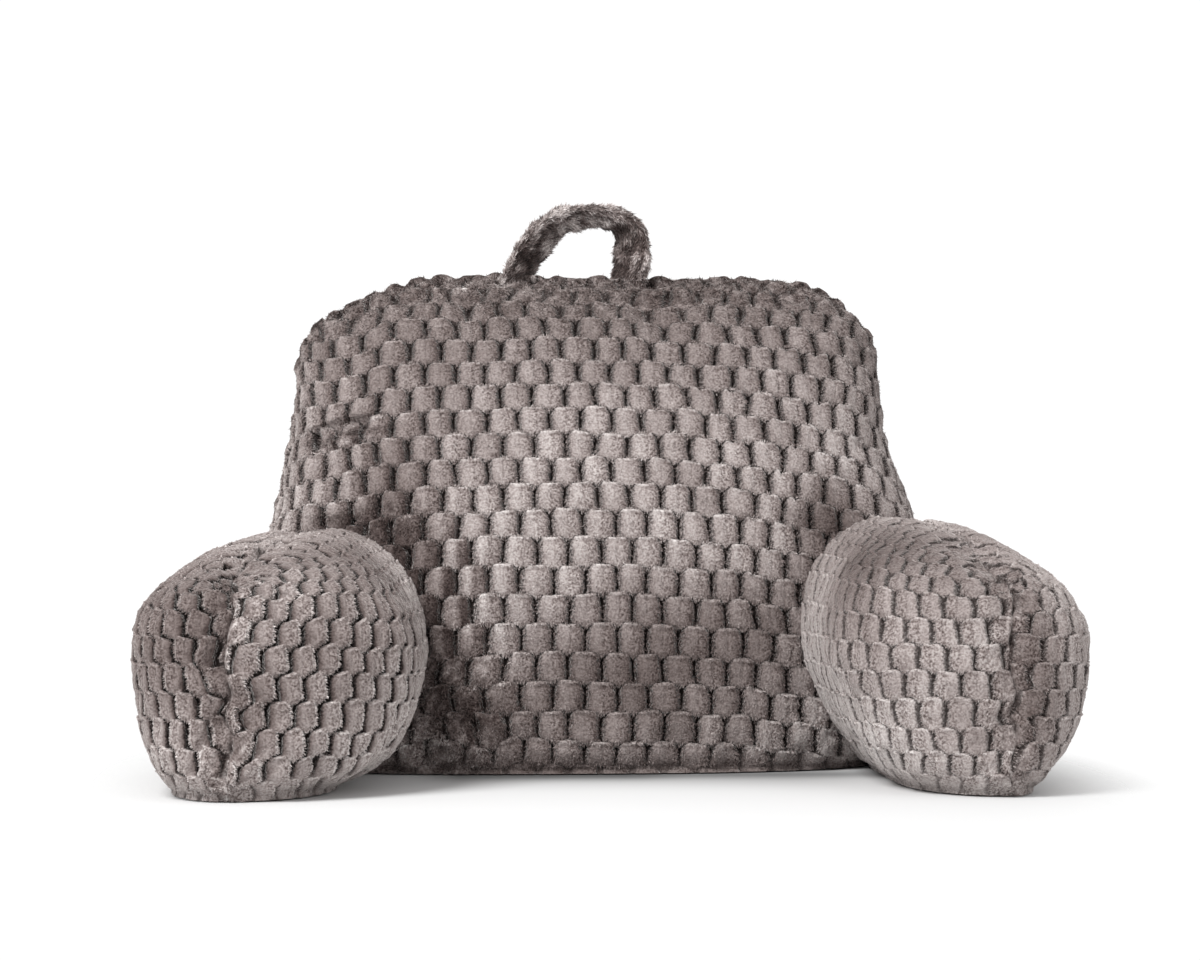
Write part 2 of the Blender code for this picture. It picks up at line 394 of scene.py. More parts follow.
def armSurface(arm, isInner, wheres, shares):
    make = armMake
    columns = easedRows(arm["rows"], wheres).T
    height, dip, tip, inner, outer = (column[:, None] for column in columns)
    swell = inner if isInner else outer
    nose = make["innerNose"] if isInner else make["outerNose"]
    share = np.broadcast_to(shares[None, :], (len(wheres), len(shares)))
    turn = np.clip(share / make["noseShare"], 0, 1) * math.pi / 2
    power = 2 / make["noseSquareness"]
    noseY = tip + nose * (1 - np.cos(turn) ** power)
    noseAside = swell * np.sin(turn) ** power
    run = (share - make["noseShare"]) / (make["sideShare"] - make["noseShare"])
    sideY = tip + nose + (make["end"] - make["heel"] - tip - nose) * run
    turn = np.clip((share - make["sideShare"]) / (1 - make["sideShare"]), 0, 1) * math.pi / 2
    power = 2 / make["heelSquareness"]
    heelY = make["end"] - make["heel"] * (1 - np.sin(turn) ** power)
    heelAside = swell * np.clip(np.cos(turn), 0, None) ** power
    onNose = share < make["noseShare"]
    onSide = share < make["sideShare"]
    y = np.where(onNose, noseY, np.where(onSide, sideY, heelY))
    aside = np.where(onNose, noseAside, np.where(onSide, swell + 0 * share, heelAside))
    backShare = (y - tip) / (make["end"] - tip)
    rise = height / arm["rows"][-1][0]
    pull = make["seamPull"] * np.exp(-((aside / make["seamReach"]) ** 2))
    pull = pull * np.minimum(1.0, rise * 4) * np.clip(swell / 0.02 - 0.65, 0, 1)
    y = y + np.where(onNose, pull, 0.0)
    z = height - dip * make["dipMore"] * (1 - backShare) ** make["dipPower"]
    seam = arm["seam"] - arm["drift"] * backShare * rise**2
    x = arm["side"] * (seam - aside if isInner else seam + aside)
    return np.stack([x + footX, y + footY, z], axis=2)


plush = dict(
    pitch=0.0261,  # across one block
    row=0.0241,  # from one row of blocks to the next
    relief=0.0078,
    loose=0.045,  # how unevenly the blocks are cut
    looser=2.5,  # and how much more so in ruffled pile
    shallower=0.225,  # how much less deep they are cut in ruffled pile
    sway=(0.0018, 0.0040),  # how far the rows sway, and how much more in ruffled pile
    crestBand=(0.395, 0.445),  # where the blocks start to flatten under the top, and where they have
    flatRise=0.6,  # how far the gaps between flattened blocks are filled
    pileRise=0.0020,  # how far the cloth lies under the tips of the pile
    # a block's outline, counted in blocks: half its top edge, how far down its slanted
    # shoulders reach, half its width, where its foot starts to narrow and where it ends
    topHalf=0.325,
    shoulderDown=0.24,
    half=0.467,
    taper=0.035,  # how much wider it gets from its shoulders down
    footDown=0.99,
    tip=1.18,
    lap=0.030,  # how much further a block reaches on its far side where the pile slants away
    # how far in from the top, shoulder, side and foot the pile rises to its full height
    rises=(0.0009, 0.0019, 0.0028, 0.0028),
    # a block's face, in parts of its height: how far it falls off to its sides, sinks under
    # its top edge, falls towards its foot and at its tip, and how deep its parting is
    crown=0.12,
    dish=0.09,
    fall=0.07,
    tipFall=0.12,
    parting=0.12,
    unlike=(0.07, 0.22, 0.12),  # how unlike they are in height, tilt across and tilt down
    lowest=0.0012,  # how close the cloth may come to the floor
    # where the lines of the net run, counted in blocks
    fineAcross=(0.030, 0.070, 0.125, 0.200, 0.285, 0.360, 0.415, 0.455),
    fineDown=(0.0, 0.045, 0.10, 0.17, 0.28, 0.44, 0.62, 0.80, 0.92),
    coarseAcross=(0.045, 0.18, 0.32, 0.455),
    coarseDown=(0.0, 0.10, 0.30, 0.60, 0.88),
)
seam = dict(
    reach=0.0026,  # how far from a seam the pile lies low
    ruffleReaches=(0.016, 0.020),  # how far it is ruffled from the front seam and from the ridge
    dip=0.0060,  # how deep a seam dips between the blocks
    footDepth=0.35,  # how much of its depth is left at its foot
    wanderReach=0.022,
    dark=(0.20, 0.50),  # how dark the painted shade along it is, and how much darker where it dips
)
# soft noise in the cloth, as pairs of an amount and a cell
uneven = dict(
    cut=((0.6, 0.008), (1.0, 0.024)),
    patches=((0.11, 0.047), (0.07, 0.019)),
    ragged=((0.90, 0.0036),),  # in the light on ruffled pile
    lumps=((0.0009, 0.030), (0.0006, 0.012)),
    ruffledLumps=((0.0035, 0.016),),
    pucker=((0.0020, 0.010),),
    fray=((0.225, 0.011),),
)
# A panel's cloth where its own values don't say otherwise. Those also give the column of its form
# that the blocks start from, how far they are moved across and up, counted in blocks, how deep its
# seams are, its seed, and whether its faces are turned over.
panelMake = dict(
    narrow=1.0,  # how wide its blocks are
    scale=1.0,  # how tall they are
    depth=1.0,  # how thick its pile is
    carved=1.0,  # how deep the blocks are cut into it
    tilt=0.0,  # how far their far sides stand up
    shear=0.0,  # and how far those are moved up
    slant=1.0,  # which way the pile slants, from 1 to -1
    farRim=0.08,  # how bright the painted highlight on the far edge of a block is
    coarse=False,
    droop=lambda s: 0.0 * s,  # how far the rows hang to the sides
    level=None,  # how closely the rows keep level with the front seam, and up to what height
    scallop=0.0,  # how far the seams dip between the blocks
    wander=0.0,  # how far the seams wander aside
    footBand=0.0,  # up to what height the blocks are stretched flat
    flat=0.0,  # how flat they are there
    crestFlat=0.0,  # and near the top of the rest
    seamRuffles=(0.0, 0.0),  # how ruffled the pile is at the front seam and at the ridge
    # soft oval patches, each with its middle, level, reach across, reach up and amount
    ruffles=(),
    naps=(),  # where the pile looks lighter or darker, by its nap and by painted shade
    splits=(),  # where one half of each block looks much darker
    pile={},
)


def softNoise(x, y, cell, seed):
    # smooth noise from -1 to 1 over lattice cells
    dice = np.random.default_rng(seed).uniform(-1, 1, (257, 257))
    u, v = x / cell + 31.7, y / cell + 57.3
    i, j = np.floor(u).astype(int), np.floor(v).astype(int)
    fu, fv = u - i, v - j
    fu, fv = fu * fu * (3 - 2 * fu), fv * fv * (3 - 2 * fv)
    i, j, k, l = i % 257, j % 257, (i + 1) % 257, (j + 1) % 257
    return (
        dice[i, j] * (1 - fu) * (1 - fv)
        + dice[k, j] * fu * (1 - fv)
        + dice[i, l] * (1 - fu) * fv
        + dice[k, l] * fu * fv
    )


def noiseSum(x, y, terms, seed):
    return sum(
        amount * softNoise(x, y, cell, seed + k) for k, (amount, cell) in enumerate(terms)
    )


def unit(vectors):
    size = np.linalg.norm(vectors, axis=-1, keepdims=True)
    return vectors / np.maximum(size, 1e-12)


def outlineSides():
    # the four sides of a block as distances inside them: one number for the place across,
    # one for the place down and one more, in the same order as the rises
    squeeze = plush["row"] / plush["pitch"]
    run, drop = plush["half"] - plush["topHalf"], plush["shoulderDown"] * squeeze
    slant = math.hypot(run, drop)
    lean = math.atan2((plush["tip"] - plush["footDown"]) * squeeze, plush["half"])
    return (
        (0.0, squeeze, 0.0),
        (-drop / slant, run / slant * squeeze, plush["topHalf"] * drop / slant),
        (-1.0, plush["taper"], plush["half"] - 0.6 * plush["taper"]),
        (-math.sin(lean), -math.cos(lean) * squeeze, math.cos(lean) * squeeze * plush["tip"]),
    )


def blockRelief(a, b, seed, tilt, shear, slant):
    # the carved blocks, with a across and b up, both counted in blocks: their height from
    # 0 to 1, the place across and down the block, and its own luck; tilt lifts the far side
    # of each block and shear moves it up
    dice = np.random.default_rng(seed).uniform(-1, 1, (64, 64, 6))
    best = np.zeros(np.broadcast(a, b).shape)
    acrossBlock, downBlock, luckOfBlock = (np.zeros_like(best) for _ in range(3))
    unlikeHeight, unlikeTilt, unlikeLean = plush["unlike"]
    for above in (0, 1):
        rowIndex = np.floor(b).astype(int) + above
        shifted = a - 0.5 * (rowIndex % 2)
        column = np.floor(shifted + 0.5).astype(int)
        luck = dice[rowIndex % 64, column % 64]
        u = shifted - column
        v = rowIndex + 1 - b - shear * (0.5 - u)
        short = np.zeros_like(best)
        for (onAcross, onDown, offset), rise in zip(outlineSides(), plush["rises"]):
            aside = np.abs(u - plush["lap"] * (1 - slant) / 2)
            inside = (onAcross * aside + onDown * v + offset) * plush["pitch"]
            edge = 1 - np.clip(inside / rise, 0, 1)
            short = np.maximum(short, 1 - np.sqrt(1 - edge**2))
        face = 1 - plush["dish"] * ramp(v, 0.05, 0.13) * ramp(v, 0.40, 0.20)
        face = face - plush["fall"] * ramp(v, 0.3, 0.8) - plush["tipFall"] * ramp(v, 0.86, 1.14)
        face = face * (1 - plush["crown"] * np.abs(u / 0.47) ** 3.5)
        parting = bell(u, 0.05 + 0.05 * luck[..., 5], 0.035) * ramp(v, 0.06, 0.26)
        parting = parting * ramp(v, 0.95, 0.75) * (luck[..., 3] > -0.3)
        face = face - plush["parting"] * parting
        tip = 1 + unlikeHeight * luck[..., 1] + (tilt + unlikeTilt * luck[..., 2]) * u
        tip = tip + unlikeLean * luck[..., 3] * (v - 0.5)
        height = (1 - short) * face * tip
        better = height > best
        best = np.where(better, height, best)
        acrossBlock = np.where(better, u / 0.465, acrossBlock)
        downBlock = np.where(better, v, downBlock)
        luckOfBlock = np.where(better, luck[..., 5], luckOfBlock)
    return best, acrossBlock, downBlock, luckOfBlock


finish = dict(
    # the dark colour that painted shade mixes in, in the gaps between blocks and along the seams
    deep=(0.032, 0.025, 0.023),
    cloth=(0.355, 0.312, 0.300),
    tips=(0.46, 0.405, 0.39),
    shader={
        "Roughness": 0.95,
        "Specular IOR Level": 0.12,
        "Sheen Weight": 0.45,
        "Sheen Roughness": 0.32,
        "Sheen Tint": (1.0, 0.95, 0.92, 1.0),
    },
    bumpDistance=0.0016,
    mottleScale=50.0,
    mottle=0.4,
    grainScale=560.0,
    specks=(0.32, 0.64),  # where the grain is darkest and where it is brightest
    brightest=1.22,
    warmth=(1.0, 1.10, 1.12),  # the darker the pile, the warmer it is
    # how far in from a block's top, shoulder, side and foot it shows the painted shade of the gap
    gapEdges=(0.0006, 0.0020, 0.0034, 0.0022),
    gapAside=(0.031, -0.015),  # how far that dark lies to one side, and how the slant moves it
    gapDepth=1.5,  # how deep it looks, against the grain
    fray=1.6,  # how ragged that edge is
    # painted shade over a block: how light it is, how much darker the half is that its pile
    # slants to and how the slant moves that, then the same for its foot and its two sides
    light=1.12,
    farHalf=(0.43, -0.21),
    foot=0.06,
    nearSide=0.15,
    farSide=0.32,
    luck=0.11,  # how unlike the blocks are
    # the shade in a block's upper corners: where it starts across, how that moves out on the
    # way down, how far it reaches, how dark it is on the near side and on the far side
    corner=(0.35, 0.10, 0.13, 0.24, 0.24),
    slantedCorner=(0.13, 0.42, 0.22, 0.50, 0.05),  # the same where the pile slants away
    # a painted highlight along a block's top edge, painted shade in the line under it, and the dark of
    # its parting
    topEdge=0.46,
    underEdge=0.26,
    parting=0.16,
)


def napTone(across, below, luck, slant, split):
    # painted shade over one block: how light the pile is, with its darker half on the side that
    # it slants to; split makes that half much darker
    onFar = across * slant
    half, bySlant = finish["farHalf"]
    tone = finish["light"] - (half + bySlant * slant) * ramp(onFar, -0.05, 0.75)
    tone = tone - finish["foot"] * ramp(below, 0.3, 0.8)
    tone = tone - finish["nearSide"] * (1 + slant) * ramp(-onFar, 0.35, 1.0)
    tone = tone - finish["farSide"] * ramp(onFar, 0.48, 1.0)
    tone = tone - split * ramp(across + 0.4 * luck, -0.15, 0.35)
    return np.maximum(tone * (1 + finish["luck"] * luck), 0.2)


def cornerShade(across, below, slant):
    # the shade in a block's upper corners, over arrays or wires
    start, slope, reach, nearDepth, farDepth = (
        (one + other) / 2 + slant * ((one - other) / 2)
        for one, other in zip(finish["corner"], finish["slantedCorner"])
    )
    corner = ramp((plush["half"] * abs(across) - start - slope * below) / reach, 0.0, 1.0)
    return 1.0 - (nearDepth + (farDepth - nearDepth) * (across > 0)) * corner


def paintedRimLights(across, below, luck, slant, farRim):
    # the fine light and dark lines of a block: a painted highlight along its top edge and its far
    # side, painted shade in the line under the top edge and in the upper corners, and its parting
    tone = 1 + finish["topEdge"] * bell(below, 0.065, 0.055) * ramp(abs(across), 0.78, 0.58)
    onRight = ramp(across, -0.25, 0.20) * ramp(across, 0.80, 0.50)
    tone = tone - finish["underEdge"] * bell(below, 0.18, 0.08) * onRight
    parting = bell(across, 0.11 + 0.11 * luck, 0.08) * ramp(below, 0.06, 0.26)
    tone = tone - finish["parting"] * parting * ramp(below, 0.95, 0.75)
    tone = tone + farRim * bell(across, -slant * 0.88, 0.12)
    return np.minimum(tone, 1.9) * cornerShade(across, below, slant)


def ruledLines(low, high, offsets):
    # the lines across the blocks between two places, counted in blocks
    whole = np.arange(math.floor(low), math.ceil(high) + 1)[:, None] + np.array(offsets)[None, :]
    whole = np.unique(np.round(whole.ravel(), 5))
    return whole[(whole > low) & (whole < high)]


def columnSums(points, axis):
    steps = np.linalg.norm(np.diff(points, axis=axis), axis=2)
    pad = [(0, 0), (0, 0)]
    pad[axis] = (1, 0)
    return np.pad(np.cumsum(steps, axis=axis), pad)


def sewForms(forms, flips):
    # gives each form its normals, with one shared normal along the seams where they meet
    normals = [
        unit(np.cross(np.gradient(form, axis=1), np.gradient(form, axis=0))) * (-1 if flip else 1)
        for form, flip in zip(forms, flips)
    ]
    shared = unit(normals[0] + normals[1])
    sewn = []
    for form, own in zip(forms, normals):
        across, upward = columnSums(form, 1), columnSums(form, 0)
        onFirst = (np.arange(form.shape[1]) < form.shape[1] // 2)[None, :, None]
        sideNormal = np.where(onFirst, shared[:, :1], shared[:, -1:])
        toSide = np.minimum(across, across[:, -1:] - across)
        toTop = upward[-1:] - upward
        nearSide = bell(toSide, 0, seam["reach"])[..., None]
        nearTop = bell(toTop, 0, seam["reach"])[..., None]
        own = unit(own * (1 - nearSide) + sideNormal * nearSide)
        own = unit(own * (1 - nearTop) + shared[-1:] * nearTop)
        sewn.append(np.concatenate([form, own], axis=2))
    return sewn


def layPanel(form, spec):
    # Lays the plush over a form. form is a dense net of places and normals, from the base up
    # and from the first seam across. Gives a finer net whose lines follow the blocks.
    pitch, row = plush["pitch"] * spec["narrow"], plush["row"] * spec["scale"]
    kind = "coarse" if spec["coarse"] else "fine"
    acrossLines, downLines = plush[kind + "Across"], plush[kind + "Down"]
    across = columnSums(form[..., :3], 1)
    origin = spec["originColumn"]
    across = across - across[:, origin : origin + 1]
    aLow, aHigh = across.min() / pitch, across.max() / pitch
    half, shift = np.array(acrossLines), spec["phase"][0]
    aLines = ruledLines(aLow - shift, aHigh - shift, np.r_[half, half + 0.5]) + shift
    aLines = np.r_[aLow, aLines, aHigh]
    columns = np.empty((form.shape[0], len(aLines), 6))
    sideRoom = np.empty((form.shape[0], len(aLines)))
    for i in range(form.shape[0]):
        for channel in range(6):
            columns[i, :, channel] = np.interp(aLines * pitch, across[i], form[i, :, channel])
        sideRoom[i] = np.minimum(aLines * pitch - across[i, 0], across[i, -1] - aLines * pitch)
    upward = columnSums(columns[..., :3], 0)
    if spec["level"]:
        # rows keep level with the front seam up to a height, and go on from there in step
        share, until = spec["level"]
        extra = upward - upward[:, :1]
        last = int(np.searchsorted(columns[:, 0, 2], until))
        extra[last:] = extra[last]
        upward = upward - share * extra
    droop = spec["droop"](aLines * pitch)
    bHigh = (upward[-1] + np.abs(droop)).max() / row + 1
    shift = spec["phase"][1]
    bLines = ruledLines(-2, bHigh, 1 - np.array(downLines)) + shift
    bLines = np.r_[0.0, bLines[bLines > 0.01]]
    wanted = bLines * row
    net = np.empty((len(bLines), len(aLines), 6))
    room = np.empty((len(bLines), len(aLines), 3))
    for j in range(len(aLines)):
        for channel in range(6):
            net[:, j, channel] = np.interp(wanted, upward[:, j], columns[:, j, channel])
        room[:, j, 0] = np.interp(wanted, upward[:, j], sideRoom[:, j])
        room[:, j, 1] = wanted
        room[:, j, 2] = upward[-1, j] - wanted
    b = bLines[:, None] + droop[None, :] / row - spec["phase"][1]
    a = np.broadcast_to(aLines[None, :] - spec["phase"][0], b.shape)
    return net, room, a, b


def patchSum(patches, s, t):
    # the sum of soft oval patches: middle, level, reach across, reach up, amount
    total = np.zeros_like(s)
    for middle, level, reachAcross, reachUp, amount in patches:
        total += amount * bell(s, middle, reachAcross) * bell(t, level, reachUp)
    return total


def carvePanel(form, spec):
    spec = dict(panelMake, **spec)
    net, room, a, b = layPanel(form, spec)
    place, normals = net[..., :3], unit(net[..., 3:])
    pitch = plush["pitch"] * spec["narrow"]
    s, t = (a + spec["phase"][0]) * pitch, room[..., 1]
    toSide, toTop = room[..., 0], room[..., 2]
    seed = spec["seed"]
    frontRuffle, ridgeRuffle = spec["seamRuffles"]
    frontReach, ridgeReach = seam["ruffleReaches"]
    ruffle = patchSum(spec["ruffles"], s, t)
    ruffle = ruffle + frontRuffle * bell(toSide, 0, frontReach) + ridgeRuffle * bell(toTop, 0, ridgeReach)
    ruffle = np.clip(ruffle, 0, 1)
    # no two blocks are cut quite alike
    loose = plush["loose"] * (1 + plush["looser"] * ruffle)
    a = a + loose * noiseSum(s, t, uneven["cut"], seed + 21)
    b = b + loose * noiseSum(s, t, uneven["cut"], seed + 23)
    height, across, below, luck = blockRelief(a, b, seed, spec["tilt"], spec["shear"], spec["slant"])
    patchy = noiseSum(s, t, uneven["patches"], seed + 8)
    patchy = patchy + ruffle * noiseSum(s, t, uneven["ragged"], seed + 15)
    # lighter and darker patches of nap and of painted shade, over random ones
    nap = np.exp(patchSum(spec["naps"], s, t) + patchy)
    shallower = plush["shallower"] + noiseSum(s, t, uneven["fray"], seed + 5)
    strength = spec["carved"] * (1 - ruffle * shallower)
    relief = plush["relief"] * spec["depth"]
    seamRoom = np.minimum(toSide, toTop)
    ease = smoothStep(seamRoom / seam["reach"])
    lump = noiseSum(s, t, uneven["lumps"], seed + 1)
    lump = lump + ruffle * noiseSum(s, t, uneven["ruffledLumps"], seed + 3)
    x, y, z = place[..., 0], place[..., 1], place[..., 2]
    # the rows of blocks run on over a seam, so it rises and falls with them
    runOn = np.cos(2 * math.pi * (np.abs(x - footX) - z) / pitch)
    notch = spec["scallop"] * (0.5 + 0.5 * runOn) ** 3
    pucker, shallow = noiseSum(x + z, y - z, uneven["pucker"], 77), seam["footDepth"]
    seamFloor = pucker - spec["seamDepth"] - seam["dip"] * notch
    seamFloor = seamFloor * (shallow + (1 - shallow) * ramp(t, 0.01, 0.03))
    ground = lump - spec["carved"] * relief - plush["pileRise"]
    # low down the blocks are stretched flat, and less so near the top of the rest
    flat = spec["flat"] * smoothStep((spec["footBand"] - t) / 0.014)
    flat = flat + spec["crestFlat"] * ramp(t, *plush["crestBand"])
    strength = strength * (1 - flat) * ease
    ground = ground + flat * plush["flatRise"] * relief
    ground = seamFloor * (1 - ease) + ground * ease
    ground = ground * smoothStep(t / 0.004 + 0.35)
    down = -unit(np.gradient(place, axis=0))
    side = unit(np.gradient(place, axis=1))
    sway, ruffledSway = plush["sway"]
    sway = (sway + ruffledSway * ruffle) * smoothStep(seamRoom / 0.006)
    base = place + side * (sway * softNoise(s, t, 0.040, seed + 6))[..., None]
    nearSeam = np.maximum(*(bell(gap, 0, seam["wanderReach"]) for gap in (toSide, toTop)))
    nearSeam = nearSeam * smoothStep(t / 0.03)
    base[..., 0] += spec["wander"] * softNoise(y - z, z, 0.026, 78) * nearSeam
    base += down * (sway * softNoise(s, t, 0.034, seed + 7) * smoothStep(t / 0.02))[..., None]
    points = base + normals * (ground + relief * strength * height)[..., None]
    points[..., 2] = np.maximum(points[..., 2], plush["lowest"])
    split = patchSum(spec["splits"], s, t)
    slant = spec["slant"] + 0 * t
    dark, darker = seam["dark"]
    return dict(
        points=points,
        base=base,
        normals=normals,
        down=down,
        side=side,
        ground=ground,
        strength=strength,
        a=a,
        b=b,
        s=s,
        t=t,
        nap=nap,
        split=split,
        shade=1 - (dark + darker * notch) * (1 - ease),
        tone=nap * (1 + strength * (napTone(across, below, luck, slant, split) - 1)),
        fleck=0.55 + 0.75 * ramp(across + 0.3 * luck, -0.2, 0.4) + 0.5 * ruffle,
        live=(toSide > -0.0005) & (toTop > -0.0005),
        flip=spec["flip"],
        ruffle=ruffle,
        tilt=spec["tilt"],
        shear=spec["shear"] + 0 * t,
        slant=slant,
        farRim=spec["farRim"] + 0 * t,
        luck=luck,
        seed=seed,
        relief=relief,
        pile=spec["pile"],
    )


clothFields = ("shade", "tone", "fleck", "a", "b", "strength", "luck", "farRim", "slant", "shear")


def plainPanel(shape, **fields):
    # a panel with no carved blocks
    panel = {key: np.zeros(shape) for key in clothFields + ("split", "ground", "ruffle")}
    panel.update(slant=np.ones(shape), live=np.full(shape, True), tilt=0.0, seed=1, relief=0.0)
    panel.update(fields)
    return panel


def hideInside(panel, trees, depth):
    # marks what lies deep inside a neighbour as not live
    points = panel["points"]
    for tree in trees:
        low, high = tree["low"] + depth, tree["high"] - depth
        near = ((points > low) & (points < high)).all(axis=2) & panel["live"]
        for i, j in zip(*np.nonzero(near)):
            spot, normal, _, away = tree["tree"].find_nearest(Vector(points[i, j]))
            if away > depth and (Vector(points[i, j]) - spot).dot(normal) < 0:
                panel["live"][i, j] = False


def panelQuads(panel):
    live = panel["live"]
    rows, columns = live.shape
    index = np.arange(rows * columns).reshape(rows, columns)
    votes = live[:-1, :-1].astype(int) + live[:-1, 1:] + live[1:, 1:] + live[1:, :-1]
    corners = [index[:-1, :-1], index[:-1, 1:], index[1:, 1:], index[1:, :-1]]
    if panel["flip"]:
        corners = corners[::-1]
    quads = np.stack([corner.ravel() for corner in corners], axis=1)
    keep = votes.ravel() >= 2
    points = panel["points"].reshape(-1, 3)
    first = points[quads[:, 2]] - points[quads[:, 0]]
    second = points[quads[:, 3]] - points[quads[:, 1]]
    area = np.linalg.norm(np.cross(first, second), axis=1) / 2
    keep &= area > 2e-8
    return quads[keep], area[keep]


def meshFrom(name, points, faces, values, places, material):
    # one mesh object from arrays; values are its point attributes, places its cloth map
    mesh = bpy.data.meshes.new(name)
    corners = faces.shape[1]
    used, faces = np.unique(faces, return_inverse=True)
    faces = faces.reshape(-1, corners)
    mesh.vertices.add(len(used))
    mesh.vertices.foreach_set("co", points[used].astype(np.float32).ravel())
    mesh.loops.add(faces.size)
    mesh.loops.foreach_set("vertex_index", faces.astype(np.int32).ravel())
    mesh.polygons.add(len(faces))
    mesh.polygons.foreach_set("loop_start", np.arange(0, faces.size, corners, dtype=np.int32))
    mesh.update(calc_edges=True)
    for key, value in values.items():
        layer = mesh.attributes.new(key, "FLOAT", "POINT")
        layer.data.foreach_set("value", value[used].astype(np.float32).ravel())
    layer = mesh.uv_layers.new(name="OFBake")
    layer.uv.foreach_set("vector", places[used][faces.ravel()].astype(np.float32).ravel())
    mesh.validate()
    mesh.materials.append(material)
    made = bpy.data.objects.new(name, mesh)
    bpy.context.scene.collection.objects.link(made)
    return made


def clothPlaces(panel, slotIndex, slots):
    # the panel's place on the cloth map, one strip for each panel
    s, t = panel["s"], panel["t"]
    u = (s - s.min()) / np.ptp(s)
    v = (t - t.min()) / np.ptp(t)
    return np.stack([0.01 + 0.98 * u, (slotIndex + 0.02 + 0.96 * v) / slots], axis=2)


def clothPiece(name, panels):
    points, faces, places = [], [], []
    count = 0
    for k, panel in enumerate(panels):
        points.append(panel["points"].reshape(-1, 3))
        faces.append(panelQuads(panel)[0] + count)
        places.append(clothPlaces(panel, k, len(panels)).reshape(-1, 2))
        count += len(points[-1])
    values = {key: np.concatenate([panel[key].ravel() for panel in panels]) for key in clothFields}
    arrays = (np.concatenate(points), np.concatenate(faces), values, np.concatenate(places))
    made = meshFrom(name, *arrays, clothMaterial)
    made.data.shade_smooth()
    print(name, 2 * len(made.data.polygons))
    return made


pile = dict(
    length=0.0025,
    width=0.0009,
    stand=0.42,  # how far the fibres stand up
    lean=0.55,  # how far they lie down
    comb=0.0,  # how far they lie to one side
    fan=0.40,  # how far they turn out at a block's sides
    tipLean=0.75,  # how much more they lie down at its frayed tip
    topLean=0.90,  # and up at its top edge
    stray=0.17,
    clump=0.0021,
    streak=1.0,  # how much longer than wide a clump is
    swirl=0.36,
    crown=0.55,  # how thick the pile is on a block's face
    contrast=0.42,
    foot=0.52,  # how dark the fibres are at the foot, a painted shade
    tries=2.6,  # how many roots are tried for each fibre that is grown
    rootDepth=0.0004,  # how deep in the cloth they start
    lowest=0.0008,  # how close the fibres may come to the floor
    lengths=(0.65, 1.25),  # how unlike they are in length
    spin=0.45,  # in how they are turned
    unlike=(0.27, 0.25),  # and in how light they are, and how much more so in ruffled pile
    tones=(0.15, 1.7),  # how dark and how light one can get
    ruffledStray=0.45,  # how much more they stray in ruffled pile
)


